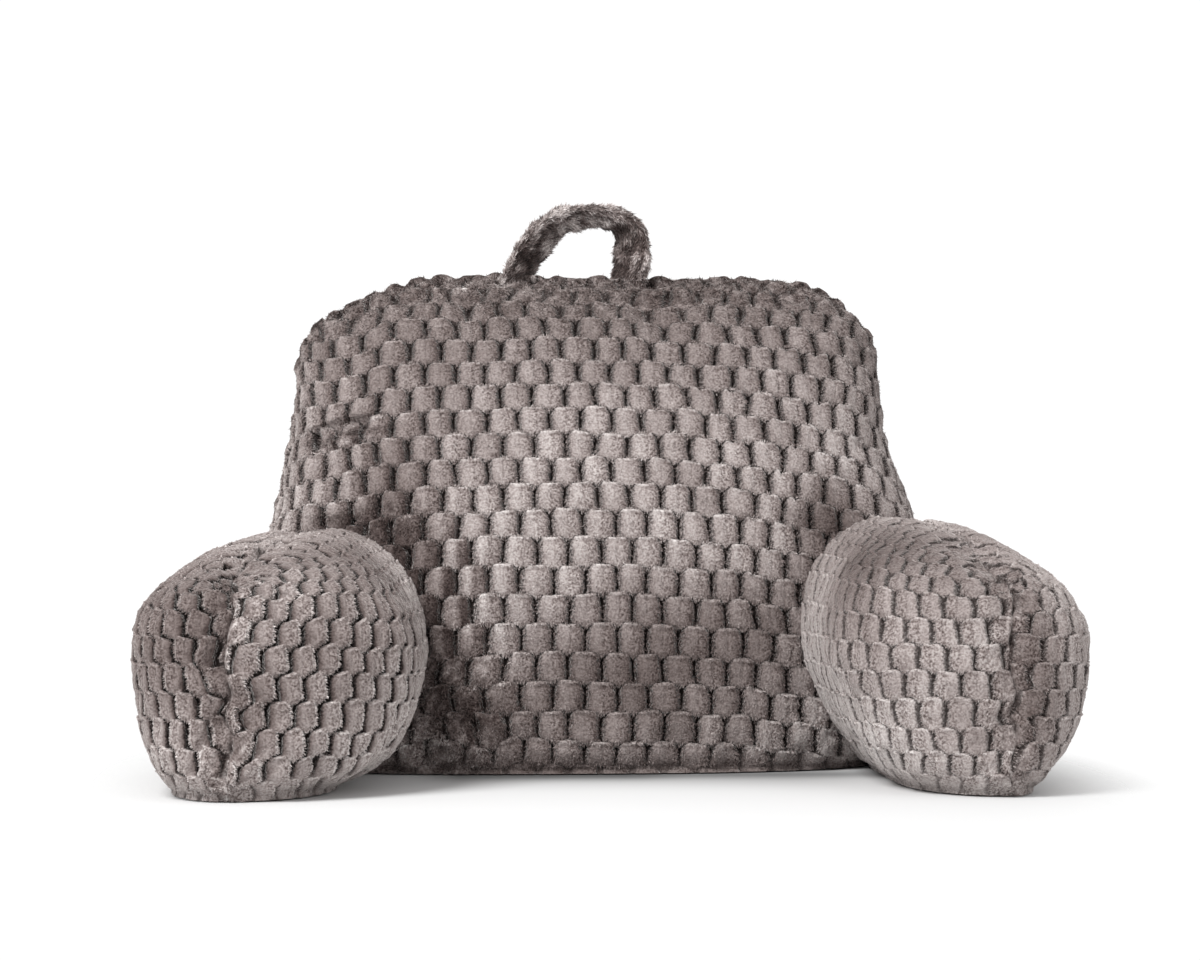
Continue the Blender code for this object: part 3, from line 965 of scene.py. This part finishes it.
def growPile(name, panels, seed):
    # short blades rooted all over the panels, as one joined mesh
    dice, count = np.random.default_rng(seed), fibres[name]
    jobs = [(k, panel, *panelQuads(panel)) for k, panel in enumerate(panels)]
    total = sum(area.sum() for _, _, _, area in jobs)
    points, tones, shades, places = [], [], [], []
    for k, panel, quads, area in jobs:
        lie = dict(pile, **panel["pile"])
        share = int(lie["tries"] * count * area.sum() / total)
        pick = dice.choice(len(quads), share, p=area / area.sum())
        u, v = dice.random(share)[:, None], dice.random(share)[:, None]
        corner = quads[pick]

        def at(field):
            flat = field.reshape(panel["live"].size, -1)
            low = flat[corner[:, 0]] * (1 - u) + flat[corner[:, 1]] * u
            high = flat[corner[:, 3]] * (1 - u) + flat[corner[:, 2]] * u
            return low * (1 - v) + high * v

        a, b, shear, slant = (at(panel[key])[:, 0] for key in ("a", "b", "shear", "slant"))
        fields = blockRelief(a, b, panel["seed"], panel["tilt"], shear, slant)
        relief, across, below, luck = (field[:, None] for field in fields)
        strength, ruffle = at(panel["strength"]), at(panel["ruffle"])
        edge = ramp(np.abs(across), 0.5, 0.85) + ramp(below, 0.78, 0.93)
        edge = np.clip(edge + ramp(below, 0.12, 0.04) + ruffle, 0, 1)
        wanted = relief.clip(0, 1) ** 1.5 * (lie["crown"] + (1 - lie["crown"]) * edge)
        wanted = 0.02 + wanted * strength + (1 - strength) * (lie["crown"] + 0.25)
        kept = np.flatnonzero((dice.random((share, 1)) < wanted)[:, 0])
        kept = kept[: int(count * area.sum() / total)]
        corner, u, v = corner[kept], u[kept], v[kept]
        relief, across, below, luck = relief[kept], across[kept], below[kept], luck[kept]
        strength, ruffle, edge = strength[kept], ruffle[kept], edge[kept]
        share = len(kept)
        nap, s, t, slant = (at(panel[key]) for key in ("nap", "s", "t", "slant"))
        normal, down, side = unit(at(panel["normals"])), at(panel["down"]), at(panel["side"])
        root = at(panel["base"]) + normal * (at(panel["ground"]) + panel["relief"] * strength * relief)
        cell = lie["clump"]
        swirl = [lie["swirl"] * softNoise(s, t, cell, seed + own) for own in (11, 12)]
        calm = (1 - 0.7 * ruffle) * strength
        way = (
            normal * lie["stand"]
            + side * (lie["fan"] * calm * across * np.abs(across) ** 1.3)
            + side * (swirl[1] + lie["comb"])
            + down * (lie["lean"] + swirl[0])
            + down * (lie["tipLean"] * calm * ramp(below, 0.75, 1.05))
            - down * (lie["topLean"] * calm * ramp(below, 0.10, 0.0))
            + dice.normal(0, 1, (share, 3)) * (lie["stray"] + lie["ruffledStray"] * ruffle)
        )
        way = unit(way)
        reach = lie["length"] * dice.uniform(*lie["lengths"], (share, 1))
        reach = reach * (0.75 + 0.25 * edge + 0.5 * ruffle)
        broad = unit(np.cross(way, normal))
        spin = dice.normal(0, lie["spin"], (share, 1))
        broad = broad * np.cos(spin) + np.cross(way, broad) * np.sin(spin)
        half = broad * (lie["width"] / 2)
        foot = root - normal * lie["rootDepth"]
        tipPoint = foot + way * reach
        for point in (foot, tipPoint):
            point[:, 2] = np.maximum(point[:, 2], lie["lowest"])
        points.append(np.stack([foot - half, foot + half, tipPoint], axis=1).reshape(-1, 3))
        clump = noiseSum(s / lie["streak"], t, ((0.6, cell), (0.4, cell * 2.7)), seed + 13)
        unlike, ruffledUnlike = lie["unlike"]
        bright = 1 + (unlike + ruffledUnlike * ruffle) * dice.normal(0, 1, (share, 1))
        darkest, lightest = lie["tones"]
        bright = np.maximum(bright + (lie["contrast"] + 0.5 * ruffle) * clump, darkest)
        # painted shade and painted highlights over the block that each fibre grows on
        lines = napTone(across, below, luck, slant, at(panel["split"]))
        lines = lines * paintedRimLights(across, below, luck, slant, at(panel["farRim"]))
        bright = np.minimum(bright * nap * (1 + strength * (lines - 1)), lightest)
        # each fibre darker at its foot, a painted shade, and lighter at its tip
        tones.append(np.concatenate([bright * lie["foot"]] * 2 + [bright * 1.05], axis=1).ravel())
        shades.append(np.repeat(1 - strength * (1 - ramp(relief, 0.02, 0.44)), 3, axis=1).ravel())
        place = at(clothPlaces(panel, k, len(panels)))
        tiny = 0.0006
        place = np.stack([place, place + [tiny, 0], place + [0, tiny]], axis=1)
        places.append(place.reshape(-1, 2))
    points = np.concatenate(points)
    faces = np.arange(len(points)).reshape(-1, 3)
    values = dict(tone=np.concatenate(tones), shade=np.concatenate(shades))
    values["fleck"] = np.full(len(points), 0.5)
    made = meshFrom(name, points, faces, values, np.concatenate(places), pileMaterial)
    print(name, len(faces))
    return made


def addGroup(name, inputs, outputs):
    # a shader node group of numbers, with wires from its inputs
    group = bpy.data.node_groups.new(name, "ShaderNodeTree")
    for labels, way in ((inputs, "INPUT"), (outputs, "OUTPUT")):
        for label in labels:
            group.interface.new_socket(label, in_out=way, socket_type="NodeSocketFloat")
    entry, leave = group.nodes.new("NodeGroupInput"), group.nodes.new("NodeGroupOutput")
    return group, [Wire(group, entry.outputs[label]) for label in inputs], leave.inputs


def placeGroup(tree, group, values):
    # a node group in a material, with numbers or wires for its inputs
    node = tree.nodes.new("ShaderNodeGroup")
    node.node_tree = group
    for label, value in values.items():
        plug(node.inputs[label], value)
    return [Wire(tree, socket) for socket in node.outputs]


def buildPlushGrain():
    # mottling and fine nap for every plush material
    inputs = ("Broad Scale", "Fine Scale", "Mottle", "Speckle")
    group, wires, leave = addGroup("plushGrain", inputs, ("Tone", "Height"))
    broadScale, fineScale, mottle, speckle = wires
    place = group.nodes.new("ShaderNodeTexCoord")
    noises = []
    for scale, detail in ((broadScale, 3.0), (fineScale, 2.0)):
        noise = group.nodes.new("ShaderNodeTexNoise")
        noise.inputs["Detail"].default_value = detail
        group.links.new(place.outputs["Object"], noise.inputs["Vector"])
        plug(noise.inputs["Scale"], scale)
        noises.append(Wire(group, noise.outputs["Fac"]))
    broad, fine = noises
    specks = group.nodes.new("ShaderNodeMapRange")
    specks.inputs["From Min"].default_value, specks.inputs["From Max"].default_value = finish["specks"]
    specks.inputs["To Max"].default_value = finish["brightest"]
    plug(specks.inputs["Value"], fine)
    plug(specks.inputs["To Min"], 1.0 - speckle)
    plug(leave["Tone"], ((broad - 0.5) * mottle + 1.0) * Wire(group, specks.outputs["Result"]))
    plug(leave["Height"], fine)
    return group


def buildCarving():
    # the carved blocks as the pile shows them: painted shade in the gaps between them, and fine lines on
    # them of painted highlight and painted shade
    inputs = ("Across", "Up", "Luck", "Far Rim Highlight", "Slant", "Shear", "Fray")
    group, wires, leave = addGroup("carvedBlocks", inputs, ("Crown", "Lines"))
    sideways, up, luck, farRim, slant, shear, fray = wires
    gapAside, gapBySlant = finish["gapAside"]
    rows = []
    for above in (0, 1):
        rowIndex = up.math("FLOOR") + above
        shifted = sideways - rowIndex.math("FLOORED_MODULO", 2.0) * 0.5
        across = shifted - shifted.math("ROUND")
        down = rowIndex + 1.0 - up + (across - 0.5) * shear
        aside = abs(across - (slant * gapBySlant + gapAside))
        inside = None
        for (onAcross, onDown, offset), rise in zip(outlineSides(), finish["gapEdges"]):
            part = (aside * onAcross + (down * onDown + offset)) * (plush["pitch"] / rise) + fray
            inside = inside.math("MINIMUM", part) if inside else part
        rows.append((inside, across, down))
    (first, *firstPlace), (second, *secondPlace) = rows
    onFirst = first > second
    across, down = (far + (near - far) * onFirst for near, far in zip(firstPlace, secondPlace))
    across = across / plush["half"]
    plug(leave["Crown"], ramp(first.math("MAXIMUM", second), 0.0, 1.0))
    # a painted highlight along the top edge and far side, painted shade under the top edge and in the
    # upper corners
    edge = hump(down, 0.065, 0.085) * ramp(abs(across), 0.80, 0.58)
    under = hump(down, 0.18, 0.13) * ramp(across, -0.25, 0.20) * ramp(across, 0.80, 0.50)
    parting = hump(across - 0.11 * luck, 0.11, 0.11) * ramp(down, 0.06, 0.30)
    parting = finish["parting"] * parting * ramp(down, 0.95, 0.75)
    lines = 1.0 + finish["topEdge"] * edge - finish["underEdge"] * under - parting
    lines = lines + farRim * ramp(across, 0.76, 0.90)
    plug(leave["Lines"], lines * cornerShade(across, down, slant))
    return group


def plushMaterial(name, high, speckle, carving=None, bump=0.0):
    material = bpy.data.materials.new(name)
    material.use_nodes = True
    tree = material.node_tree
    nodes, links = tree.nodes, tree.links

    def field(name):
        node = nodes.new("ShaderNodeAttribute")
        node.attribute_name = name
        return Wire(tree, node.outputs["Fac"])

    shader = nodes["Principled BSDF"]
    for label, value in finish["shader"].items():
        shader.inputs[label].default_value = value
    shade = field("shade")
    values = {"Broad Scale": finish["mottleScale"], "Fine Scale": finish["grainScale"]}
    values.update({"Mottle": finish["mottle"], "Speckle": field("fleck") * speckle})
    strength, height = placeGroup(tree, plushGrain, values)
    strength = strength * field("tone")
    if carving:
        labels = ("Across", "Up", "Luck", "Far Rim Highlight", "Slant", "Shear")
        names = ("a", "b", "luck", "farRim", "slant", "shear")
        values = {label: field(name) for label, name in zip(labels, names)}
        values["Fray"] = (height - 0.5) * finish["fray"]
        crown, lines = placeGroup(tree, carving, values)
        carved = field("strength")
        # painted shade in the gaps between the blocks
        gap = carved * (1.0 - crown)
        shade = shade * (1.0 - gap)
        strength = strength * ((lines - 1.0) * carved + 1.0)
        height = height - finish["gapDepth"] * gap
    mix = nodes.new("ShaderNodeMix")
    mix.data_type = "RGBA"
    mix.inputs["A"].default_value = (*finish["deep"], 1.0)
    mix.inputs["B"].default_value = (*high, 1.0)
    plug(mix.inputs["Factor"], shade)
    apart, joined = nodes.new("ShaderNodeSeparateColor"), nodes.new("ShaderNodeCombineColor")
    links.new(mix.outputs["Result"], apart.inputs["Color"])
    for channel, joint, power in zip(apart.outputs, joined.inputs, finish["warmth"]):
        plug(joint, Wire(tree, channel) * strength**power)
    links.new(joined.outputs["Color"], shader.inputs["Base Color"])
    if bump:
        relief = nodes.new("ShaderNodeBump")
        relief.inputs["Strength"].default_value = bump
        relief.inputs["Distance"].default_value = finish["bumpDistance"]
        plug(relief.inputs["Height"], height)
        links.new(relief.outputs["Normal"], shader.inputs["Normal"])
    return material


plushGrain = buildPlushGrain()
clothMaterial = plushMaterial("plushCloth", finish["cloth"], 0.55, carving=buildCarving(), bump=0.8)
pileMaterial = plushMaterial("plushPile", finish["tips"], 0.5)
print("materials ready")


def nodeTree(node):
    item = bpy.data.objects[node]
    item.data.calc_loop_triangles()
    world = item.matrix_world
    corners = [world @ vertex.co for vertex in item.data.vertices]
    faces = [tuple(triangle.vertices) for triangle in item.data.loop_triangles]
    low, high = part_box(node)
    return dict(
        tree=BVHTree.FromPolygons(corners, faces), low=np.array(low), high=np.array(high)
    )


trees = {node: nodeTree(node) for node in ("rest", "arm_left", "arm_right")}
shares = np.linspace(0, 1, 181)  # the dense net over a form, round it and up it
wheres = np.linspace(0, 1, 241)
hiddenDepth = 0.010  # how deep inside a neighbour the plush is left out
fibres = dict(
    restFrontPile=170000,
    restBackPile=76000,
    armLeftPile=110000,
    armRightPile=110000,
    handlePile=40000,
)


def finishPiece(piece, nodes=()):
    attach(piece, "root")
    if nodes:
        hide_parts(*nodes)


baseMake = dict(steps=161, rows=25, bow=0.0010, bowCell=0.02, light=0.8)


def basePanel(panels, seed):
    # the flat panel that a chamber rests on, between the hems of its two walls
    make = baseMake
    steps = np.linspace(0, 1, make["steps"])
    hems = []
    for line in (panel["points"][0] for panel in panels):
        along = np.r_[0, np.cumsum(np.linalg.norm(np.diff(line, axis=0), axis=1))]
        along = along / along[-1]
        hems.append(np.stack([np.interp(steps, along, line[:, k]) for k in range(3)], axis=1))
    across = np.linspace(0, 1, make["rows"])[:, None, None]
    points = hems[0][None] * (1 - across) + hems[1][None] * across
    s, t = points[..., 0].copy(), points[..., 1].copy()
    bow = make["bow"] * (1 + softNoise(s, t, make["bowCell"], seed)) * np.sin(np.pi * across[..., 0])
    points[1:-1, :, 2] = plush["lowest"] + bow[1:-1]
    i, j = make["rows"] // 2, make["steps"] // 2
    facing = np.cross(points[i, j + 1] - points[i, j], points[i + 1, j] - points[i, j])[2]
    even = np.full(s.shape, make["light"])
    net = dict(points=points, s=s, t=t, a=s / plush["pitch"], b=t / plush["row"])
    return plainPanel(s.shape, flip=facing > 0, shade=even, tone=even, fleck=even, **net)


stuffing = dict(
    rowStep=6,
    columnStep=5,
    frames=20,
    startIn=0.003,  # how much slacker than its form the cloth starts
    most=0.0045,  # how far any of it may move
    cloth=dict(
        quality=6,
        mass=0.25,
        tension_stiffness=40.0,
        compression_stiffness=15.0,
        bending_stiffness=1.5,
        shrink_min=-0.02,  # how much more cloth there is than the form needs, as a minus
        use_pressure=True,
        uniform_pressure_force=4.0,
        vertex_group_mass="held",
    ),
)


def spreadOut(values, count):
    # values along the first axis, on a smooth curve at count even places
    at = np.linspace(0, len(values) - 1, count)
    i = np.minimum(at.astype(int), len(values) - 2)
    slopes = np.gradient(values, axis=0)
    return eased(values[i], values[i + 1], slopes[i], slopes[i + 1], (at - i)[:, None, None])


def stuffChamber(name, forms):
    # fills a sewn chamber: its cloth, held at the hem and the seams, is blown out from inside
    rows, columns = forms[0].shape[:2]
    nets = [form[:: stuffing["rowStep"], :: stuffing["columnStep"]] for form in forms]
    high, wide = nets[0].shape[:2]
    first = np.arange(high * wide).reshape(high, wide)
    second = first + high * wide
    second[:, 0], second[:, -1], second[-1] = first[:, 0], first[:, -1], first[-1]
    hem = [(first[0, j], second[0, j], second[0, j + 1], first[0, j + 1]) for j in range(wide - 1)]
    walls = [
        (index[i, j], index[i, j + 1], index[i + 1, j + 1], index[i + 1, j])[::way]
        for index, way in ((first, 1), (second, -1))
        for i in range(high - 1)
        for j in range(wide - 1)
    ]
    faces = [tuple(dict.fromkeys(int(corner) for corner in face)) for face in walls + hem]
    points = np.concatenate([net.reshape(-1, 3) for net in nets])
    middle = points.mean(axis=0)
    corners = (points[list(face[:3])] - middle for face in faces)
    if sum(map(np.linalg.det, corners)) < 0:  # the faces look inwards
        faces = [face[::-1] for face in faces]
    held = np.ones((2, high, wide), bool)
    held[:, 1:-1, 1:-1] = False
    held = held.ravel()
    dice = np.random.default_rng(len(name))
    mesh = bpy.data.meshes.new(name)
    mesh.from_pydata(points.tolist(), [], faces)
    inward = np.empty(points.size)
    mesh.vertices.foreach_get("normal", inward)
    inward = inward.reshape(-1, 3) * (-stuffing["startIn"] * dice.uniform(0.7, 1.3, (len(points), 1)))
    mesh.vertices.foreach_set("co", (points + inward * ~held[:, None]).ravel())
    made = bpy.data.objects.new(name, mesh)
    bpy.context.scene.collection.objects.link(made)
    group = made.vertex_groups.new(name="held")
    group.add([int(k) for k in np.flatnonzero(held)], 1.0, "REPLACE")
    cloth = made.modifiers.new("cloth", "CLOTH")
    cloth.collision_settings.use_collision = False
    cloth.settings.effector_weights.gravity = 0.0
    for setting, value in stuffing["cloth"].items():
        setattr(cloth.settings, setting, value)
    for step in range(1, stuffing["frames"] + 1):
        bpy.context.scene.frame_set(step)
    blown = made.evaluated_get(bpy.context.evaluated_depsgraph_get()).data
    moved = np.empty(points.size)
    blown.vertices.foreach_get("co", moved)
    moved = moved.reshape(-1, 3) - points
    moved[held] = 0.0
    size = np.linalg.norm(moved, axis=1, keepdims=True)
    moved *= np.tanh(size / stuffing["most"]) * stuffing["most"] / np.maximum(size, 1e-9)
    bpy.data.objects.remove(made)
    bpy.data.meshes.remove(mesh)
    bpy.context.scene.frame_set(1)
    print(name, "stuffed, moved up to", round(1000 * np.linalg.norm(moved, axis=1).max(), 1), "mm")
    filled = []
    for form, part in zip(forms, moved.reshape(2, high, wide, 3)):
        part = spreadOut(part, rows)
        part = spreadOut(part.swapaxes(0, 1), columns).swapaxes(0, 1)
        filled.append(form + part)
    return filled


def sewChamber(name, forms, specs, neighbours, seed):
    # stuffs the forms of a chamber's two walls, sews them together and carves their plush
    forms = stuffChamber(name + "Filling", forms)
    forms = sewForms(forms, [spec["flip"] for spec in specs])
    panels = [carvePanel(form, spec) for form, spec in zip(forms, specs)]
    base = basePanel(panels, seed)
    for panel in panels:
        hideInside(panel, [trees[neighbour] for neighbour in neighbours], hiddenDepth)
    return panels, base


restPanels = dict(
    front=dict(
        originColumn=90,
        phase=(0.18, 0.30),
        seamDepth=0.0016,
        scallop=0.6,
        flip=False,
        seed=3,
        droop=lambda s: np.where(
            s > 0, 0.020 * np.abs(s / 0.25) ** 1.6, 0.007 * np.abs(s / 0.25) ** 2
        ),
        footBand=0.022,
        flat=0.60,
        crestFlat=0.15,
        ruffles=(
            (-0.215, 0.30, 0.040, 0.012, 0.8),
            (-0.175, 0.210, 0.040, 0.025, 0.7),
            (-0.125, 0.055, 0.050, 0.070, 1.0),
            (0.000, 0.475, 0.600, 0.055, 0.9),
        ),
        splits=((-0.118, 0.145, 0.040, 0.065, 0.75), (-0.185, 0.255, 0.050, 0.060, 0.30)),
        # lighter and darker patches of nap, with painted shade in the creases, near the arms and along
        # the foot
        naps=(
            (0.00, 0.46, 0.60, 0.12, -0.85),
            (-0.072, 0.468, 0.010, 0.012, 0.70),
            (-0.104, 0.462, 0.013, 0.007, 0.55),
            (-0.150, 0.320, 0.08, 0.08, -0.16),
            (-0.165, 0.243, 0.035, 0.06, -0.52),
            (-0.228, 0.235, 0.030, 0.025, -0.12),
            (-0.175, 0.140, 0.025, 0.070, -0.75),
            (-0.150, 0.120, 0.035, 0.065, -0.35),
            (-0.128, 0.090, 0.028, 0.035, -0.40),
            (-0.105, 0.052, 0.036, 0.026, -0.80),
            (-0.082, 0.125, 0.022, 0.060, 0.22),
            (-0.210, 0.304, 0.040, 0.0050, -1.10),
            (-0.205, 0.214, 0.030, 0.016, -1.30),
            (-0.160, 0.190, 0.025, 0.030, -0.90),
            (0.070, 0.098, 0.120, 0.068, -0.80),
            (-0.050, 0.030, 0.055, 0.030, -0.22),
            (0.175, 0.080, 0.050, 0.060, 0.18),
            (0.205, 0.215, 0.030, 0.032, -0.60),
            (0.215, 0.340, 0.030, 0.080, 0.12),
            (-0.020, 0.070, 0.080, 0.055, -0.25),
            (0.195, 0.190, 0.030, 0.080, -0.25),
            (0.218, 0.243, 0.030, 0.040, -0.25),
            (0.00, 0.0, 0.60, 0.014, -0.60),
            (-0.040, 0.0, 0.055, 0.018, -0.24),
            (0.185, 0.015, 0.050, 0.025, 0.34),
            (-0.152, 0.155, 0.026, 0.034, -0.34),
            (-0.120, 0.118, 0.026, 0.030, -0.22),
            (-0.093, 0.055, 0.028, 0.028, -0.26),
            (0.192, 0.190, 0.034, 0.036, -0.26),
            (0.155, 0.120, 0.028, 0.030, -0.24),
            (0.218, 0.280, 0.026, 0.030, 0.32),
            (0.093, 0.245, 0.032, 0.032, -0.24),
            (0.217, 0.065, 0.035, 0.045, 0.26),
            (0.155, 0.185, 0.022, 0.025, 0.26),
            (0.217, 0.212, 0.022, 0.026, -0.26),
        ),
    ),
    back=dict(
        originColumn=90,
        phase=(0.0, 0.30),
        seamDepth=0.0016,
        scallop=0.6,
        flip=True,
        seed=17,
        coarse=True,
        pile=dict(length=0.00325),
    ),
)


def makeRest():
    forms = [restSurface(isFront, wheres, shares) for isFront in (True, False)]
    specs = list(restPanels.values())
    (front, back), base = sewChamber("rest", forms, specs, ["arm_left", "arm_right"], 5)
    finishPiece(clothPiece("restPlush", [front, base]), ["rest"])
    finishPiece(clothPiece("restBackPlush", [back]))
    finishPiece(growPile("restFrontPile", [front], 101))
    finishPiece(growPile("restBackPile", [back], 303))


# both walls of an arm, and then what each of them has of its own
armPanel = dict(
    originColumn=0,
    level=(0.85, 0.150),
    scale=0.87,
    seamDepth=0.0050,
    scallop=0.5,
    wander=0.006,
    flat=0.60,
    pile=dict(length=0.0020, comb=0.8, stray=0.08),
)
armPanels = dict(
    inner=dict(phase=(0.3, 0.1), seamRuffles=(0.60, 0.25), footBand=0.030),
    outer=dict(phase=(0.1, 0.45), seamRuffles=(0.60, 0.20), footBand=0.034),
)
# where the pile of each arm looks lighter or darker, by its nap and by painted shade: place back
# from the front seam, height, reach back, reach up and amount
armNapsAndShade = dict(
    armLeft=dict(
        inner=(
            (0.05, 0.11, 0.5, 0.5, -0.18),
            (0.075, 0.125, 0.075, 0.045, -0.36),
            (0.05, 0.24, 0.5, 0.05, -0.40),
            (0.05, 0.00, 0.5, 0.04, 0.20),
            (0.15, 0.04, 0.06, 0.05, 0.20),
            (0.02, 0.07, 0.03, 0.04, -0.32),
            (0.16, 0.10, 0.05, 0.05, 0.20),
            (0.16, 0.18, 0.05, 0.06, -0.60),
            (0.20, 0.17, 0.035, 0.05, -0.60),
        ),
        outer=(
            (0.05, 0.15, 0.5, 0.10, -0.85),
            (0.0, 0.09, 0.03, 0.08, -0.25),
            (0.05, 0.00, 0.5, 0.04, 0.25),
        ),
    ),
    armRight=dict(
        inner=(
            (0.05, 0.22, 0.5, 0.07, -0.52),
            (0.12, 0.24, 0.10, 0.05, -0.28),
            (0.15, 0.19, 0.05, 0.07, -0.55),
            (0.185, 0.18, 0.035, 0.05, -0.40),
            (0.0, 0.10, 0.012, 0.12, -0.30),
            (0.03, 0.05, 0.03, 0.03, -0.15),
            (0.16, 0.05, 0.06, 0.05, 0.22),
            (0.06, 0.07, 0.10, 0.07, -0.10),
            (0.05, 0.00, 0.5, 0.05, 0.20),
        ),
        outer=(
            (0.012, 0.10, 0.026, 0.12, -0.85),
            (0.08, 0.240, 0.10, 0.040, -0.38),
            (0.05, 0.00, 0.5, 0.04, 0.25),
        ),
    ),
)


def makeArm(name):
    arm = armForms[name]
    specs = []
    for k, which in enumerate(armPanels):
        spec = dict(armPanel, **armPanels[which], **arm["cloth"], naps=armNapsAndShade[name][which])
        spec["flip"] = (arm["side"] < 0) != (which == "inner")
        spec["seed"] = 40 + k + (7 if arm["side"] > 0 else 0)
        specs.append(spec)
    forms = [armSurface(arm, isInner, wheres, shares) for isInner in (True, False)]
    panels, base = sewChamber(name, forms, specs, ["rest"], 9)
    finishPiece(clothPiece(name + "Plush", panels + [base]), [arm["node"]])
    finishPiece(growPile(name + "Pile", panels, 500 + int(arm["side"])))


# The handle is a stuffed strap bent into a loop: x, height, and how far its front edge is
# turned outwards, in degrees.
strap = dict(
    route=(
        (-0.064, 0.400, 38.0),
        (-0.053, 0.425, 38.0),
        (-0.038, 0.449, 36.0),
        (-0.018, 0.467, 28.0),
        (0.006, 0.4715, 22.0),
        (0.029, 0.4685, 24.0),
        (0.0435, 0.456, 36.0),
        (0.0450, 0.438, 42.0),
        (0.0425, 0.420, 42.0),
        (0.0400, 0.400, 42.0),
    ),
    depth=0.180,
    length=0.235,
    girth=0.096,  # all round it
    width=0.040,
    thickness=0.013,
    squareness=3.0,
    pileRoom=0.0013,
    sink=0.0006,  # how far the cloth lies under the foot of its pile
    lump=dict(height=0.0022, cell=0.013),
    tuft=dict(height=0.0018, cell=0.0048, streak=1.8),
    # the fold at its right bend: place along and round, reach along and round, and height
    tuck=(0.192, 0.9, 0.010, 0.7, 0.0050),
    nap=0.93,
    # lighter and darker patches of nap and of painted shade: place along, place round, reaches, amount
    naps=(
        (0.035, 0.026, 0.030, 0.016, -1.1),
        (0.035, 0.000, 0.040, 0.012, 0.35),
        (0.035, 0.096, 0.040, 0.012, 0.35),
        (0.115, 0.016, 0.040, 0.007, -0.7),
        (0.115, 0.094, 0.045, 0.012, 0.30),
        (0.160, 0.000, 0.012, 0.030, -0.8),
        (0.190, 0.024, 0.030, 0.006, -0.8),
        (0.195, 0.020, 0.040, 0.060, -0.78),
        (0.212, 0.030, 0.010, 0.020, -0.9),
    ),
    pile=dict(
        length=0.004375,
        width=0.00153,
        stand=0.14,
        stray=0.0,
        streak=3.0,
        clump=0.0020,
        contrast=0.85,
        crown=0.8,
    ),
    steps=150,
    sides=44,
)


def strapPanel():
    steps, sides = strap["steps"], strap["sides"]
    x, height, flare = easedRows(strap["route"], np.linspace(0, 1, steps), 2).T
    run = unit(np.stack([np.gradient(x), 0 * x, np.gradient(height)], axis=1))
    outward = np.stack([-run[:, 2], 0 * x, run[:, 0]], axis=1)
    flare = np.radians(flare)[:, None]
    across = np.array([0.0, -1.0, 0.0]) * np.cos(flare) + outward * np.sin(flare)
    through = np.cross(run, across)
    middle = np.stack([x + footX, 0 * x + strap["depth"] + footY, height], axis=1)
    turn = np.linspace(0, 2 * math.pi, sides + 1)[:, None]
    s, t = np.linspace(0, strap["length"], steps), np.linspace(0, strap["girth"], sides + 1)
    s, t = np.meshgrid(s, t)
    power = 2 / strap["squareness"]
    wide = signedPower(np.cos(turn), power) * (strap["width"] / 2 - strap["pileRoom"])
    thick = signedPower(np.sin(turn), power) * (strap["thickness"] / 2 - strap["pileRoom"])
    place = middle[None] + across[None] * wide[..., None] + through[None] * thick[..., None]
    normals = unit(np.cross(np.gradient(place, axis=1), np.gradient(place, axis=0)))
    facing = np.sign((normals * (place - middle[None])).sum(axis=2).mean())
    normals = normals * facing
    around = np.minimum(t, strap["girth"] - t)
    lump, tuft = strap["lump"], strap["tuft"]
    tufts = softNoise(s / tuft["streak"], around, tuft["cell"], 62)
    lumps = lump["height"] * softNoise(s, around, lump["cell"], 61) + tuft["height"] * tufts
    tuck = patchSum([strap["tuck"]], s, turn + 0 * s)
    points = place + normals * (lumps + tuck - strap["sink"])[..., None]
    nap = patchSum(strap["naps"], s, t + 0.016 * softNoise(s, around, 0.010, 63))
    # painted shade in the hollows between the lumps and the tufts, over random patches
    nap = nap + 0.35 * softNoise(s, around, 0.007, 64) + 280 * lumps + 0.55 * tufts
    nap = strap["nap"] * np.exp(np.clip(nap, -1.6, 0.65))
    run = np.broadcast_to(run[None], place.shape)
    even = dict(shade=0.75, fleck=1.2, ruffle=0.35)
    return plainPanel(
        s.shape,
        points=points,
        base=points,
        normals=normals,
        down=run,
        side=np.cross(run, normals),
        s=s,
        t=t,
        nap=nap,
        tone=nap,
        flip=facing > 0,
        pile=strap["pile"],
        **{key: np.full(s.shape, value) for key, value in even.items()},
    )


def makeHandle():
    panel = strapPanel()
    finishPiece(clothPiece("handlePlush", [panel]), ["handle"])
    finishPiece(growPile("handlePile", [panel], 707))


makeRest()
makeArm("armLeft")
makeArm("armRight")
makeHandle()
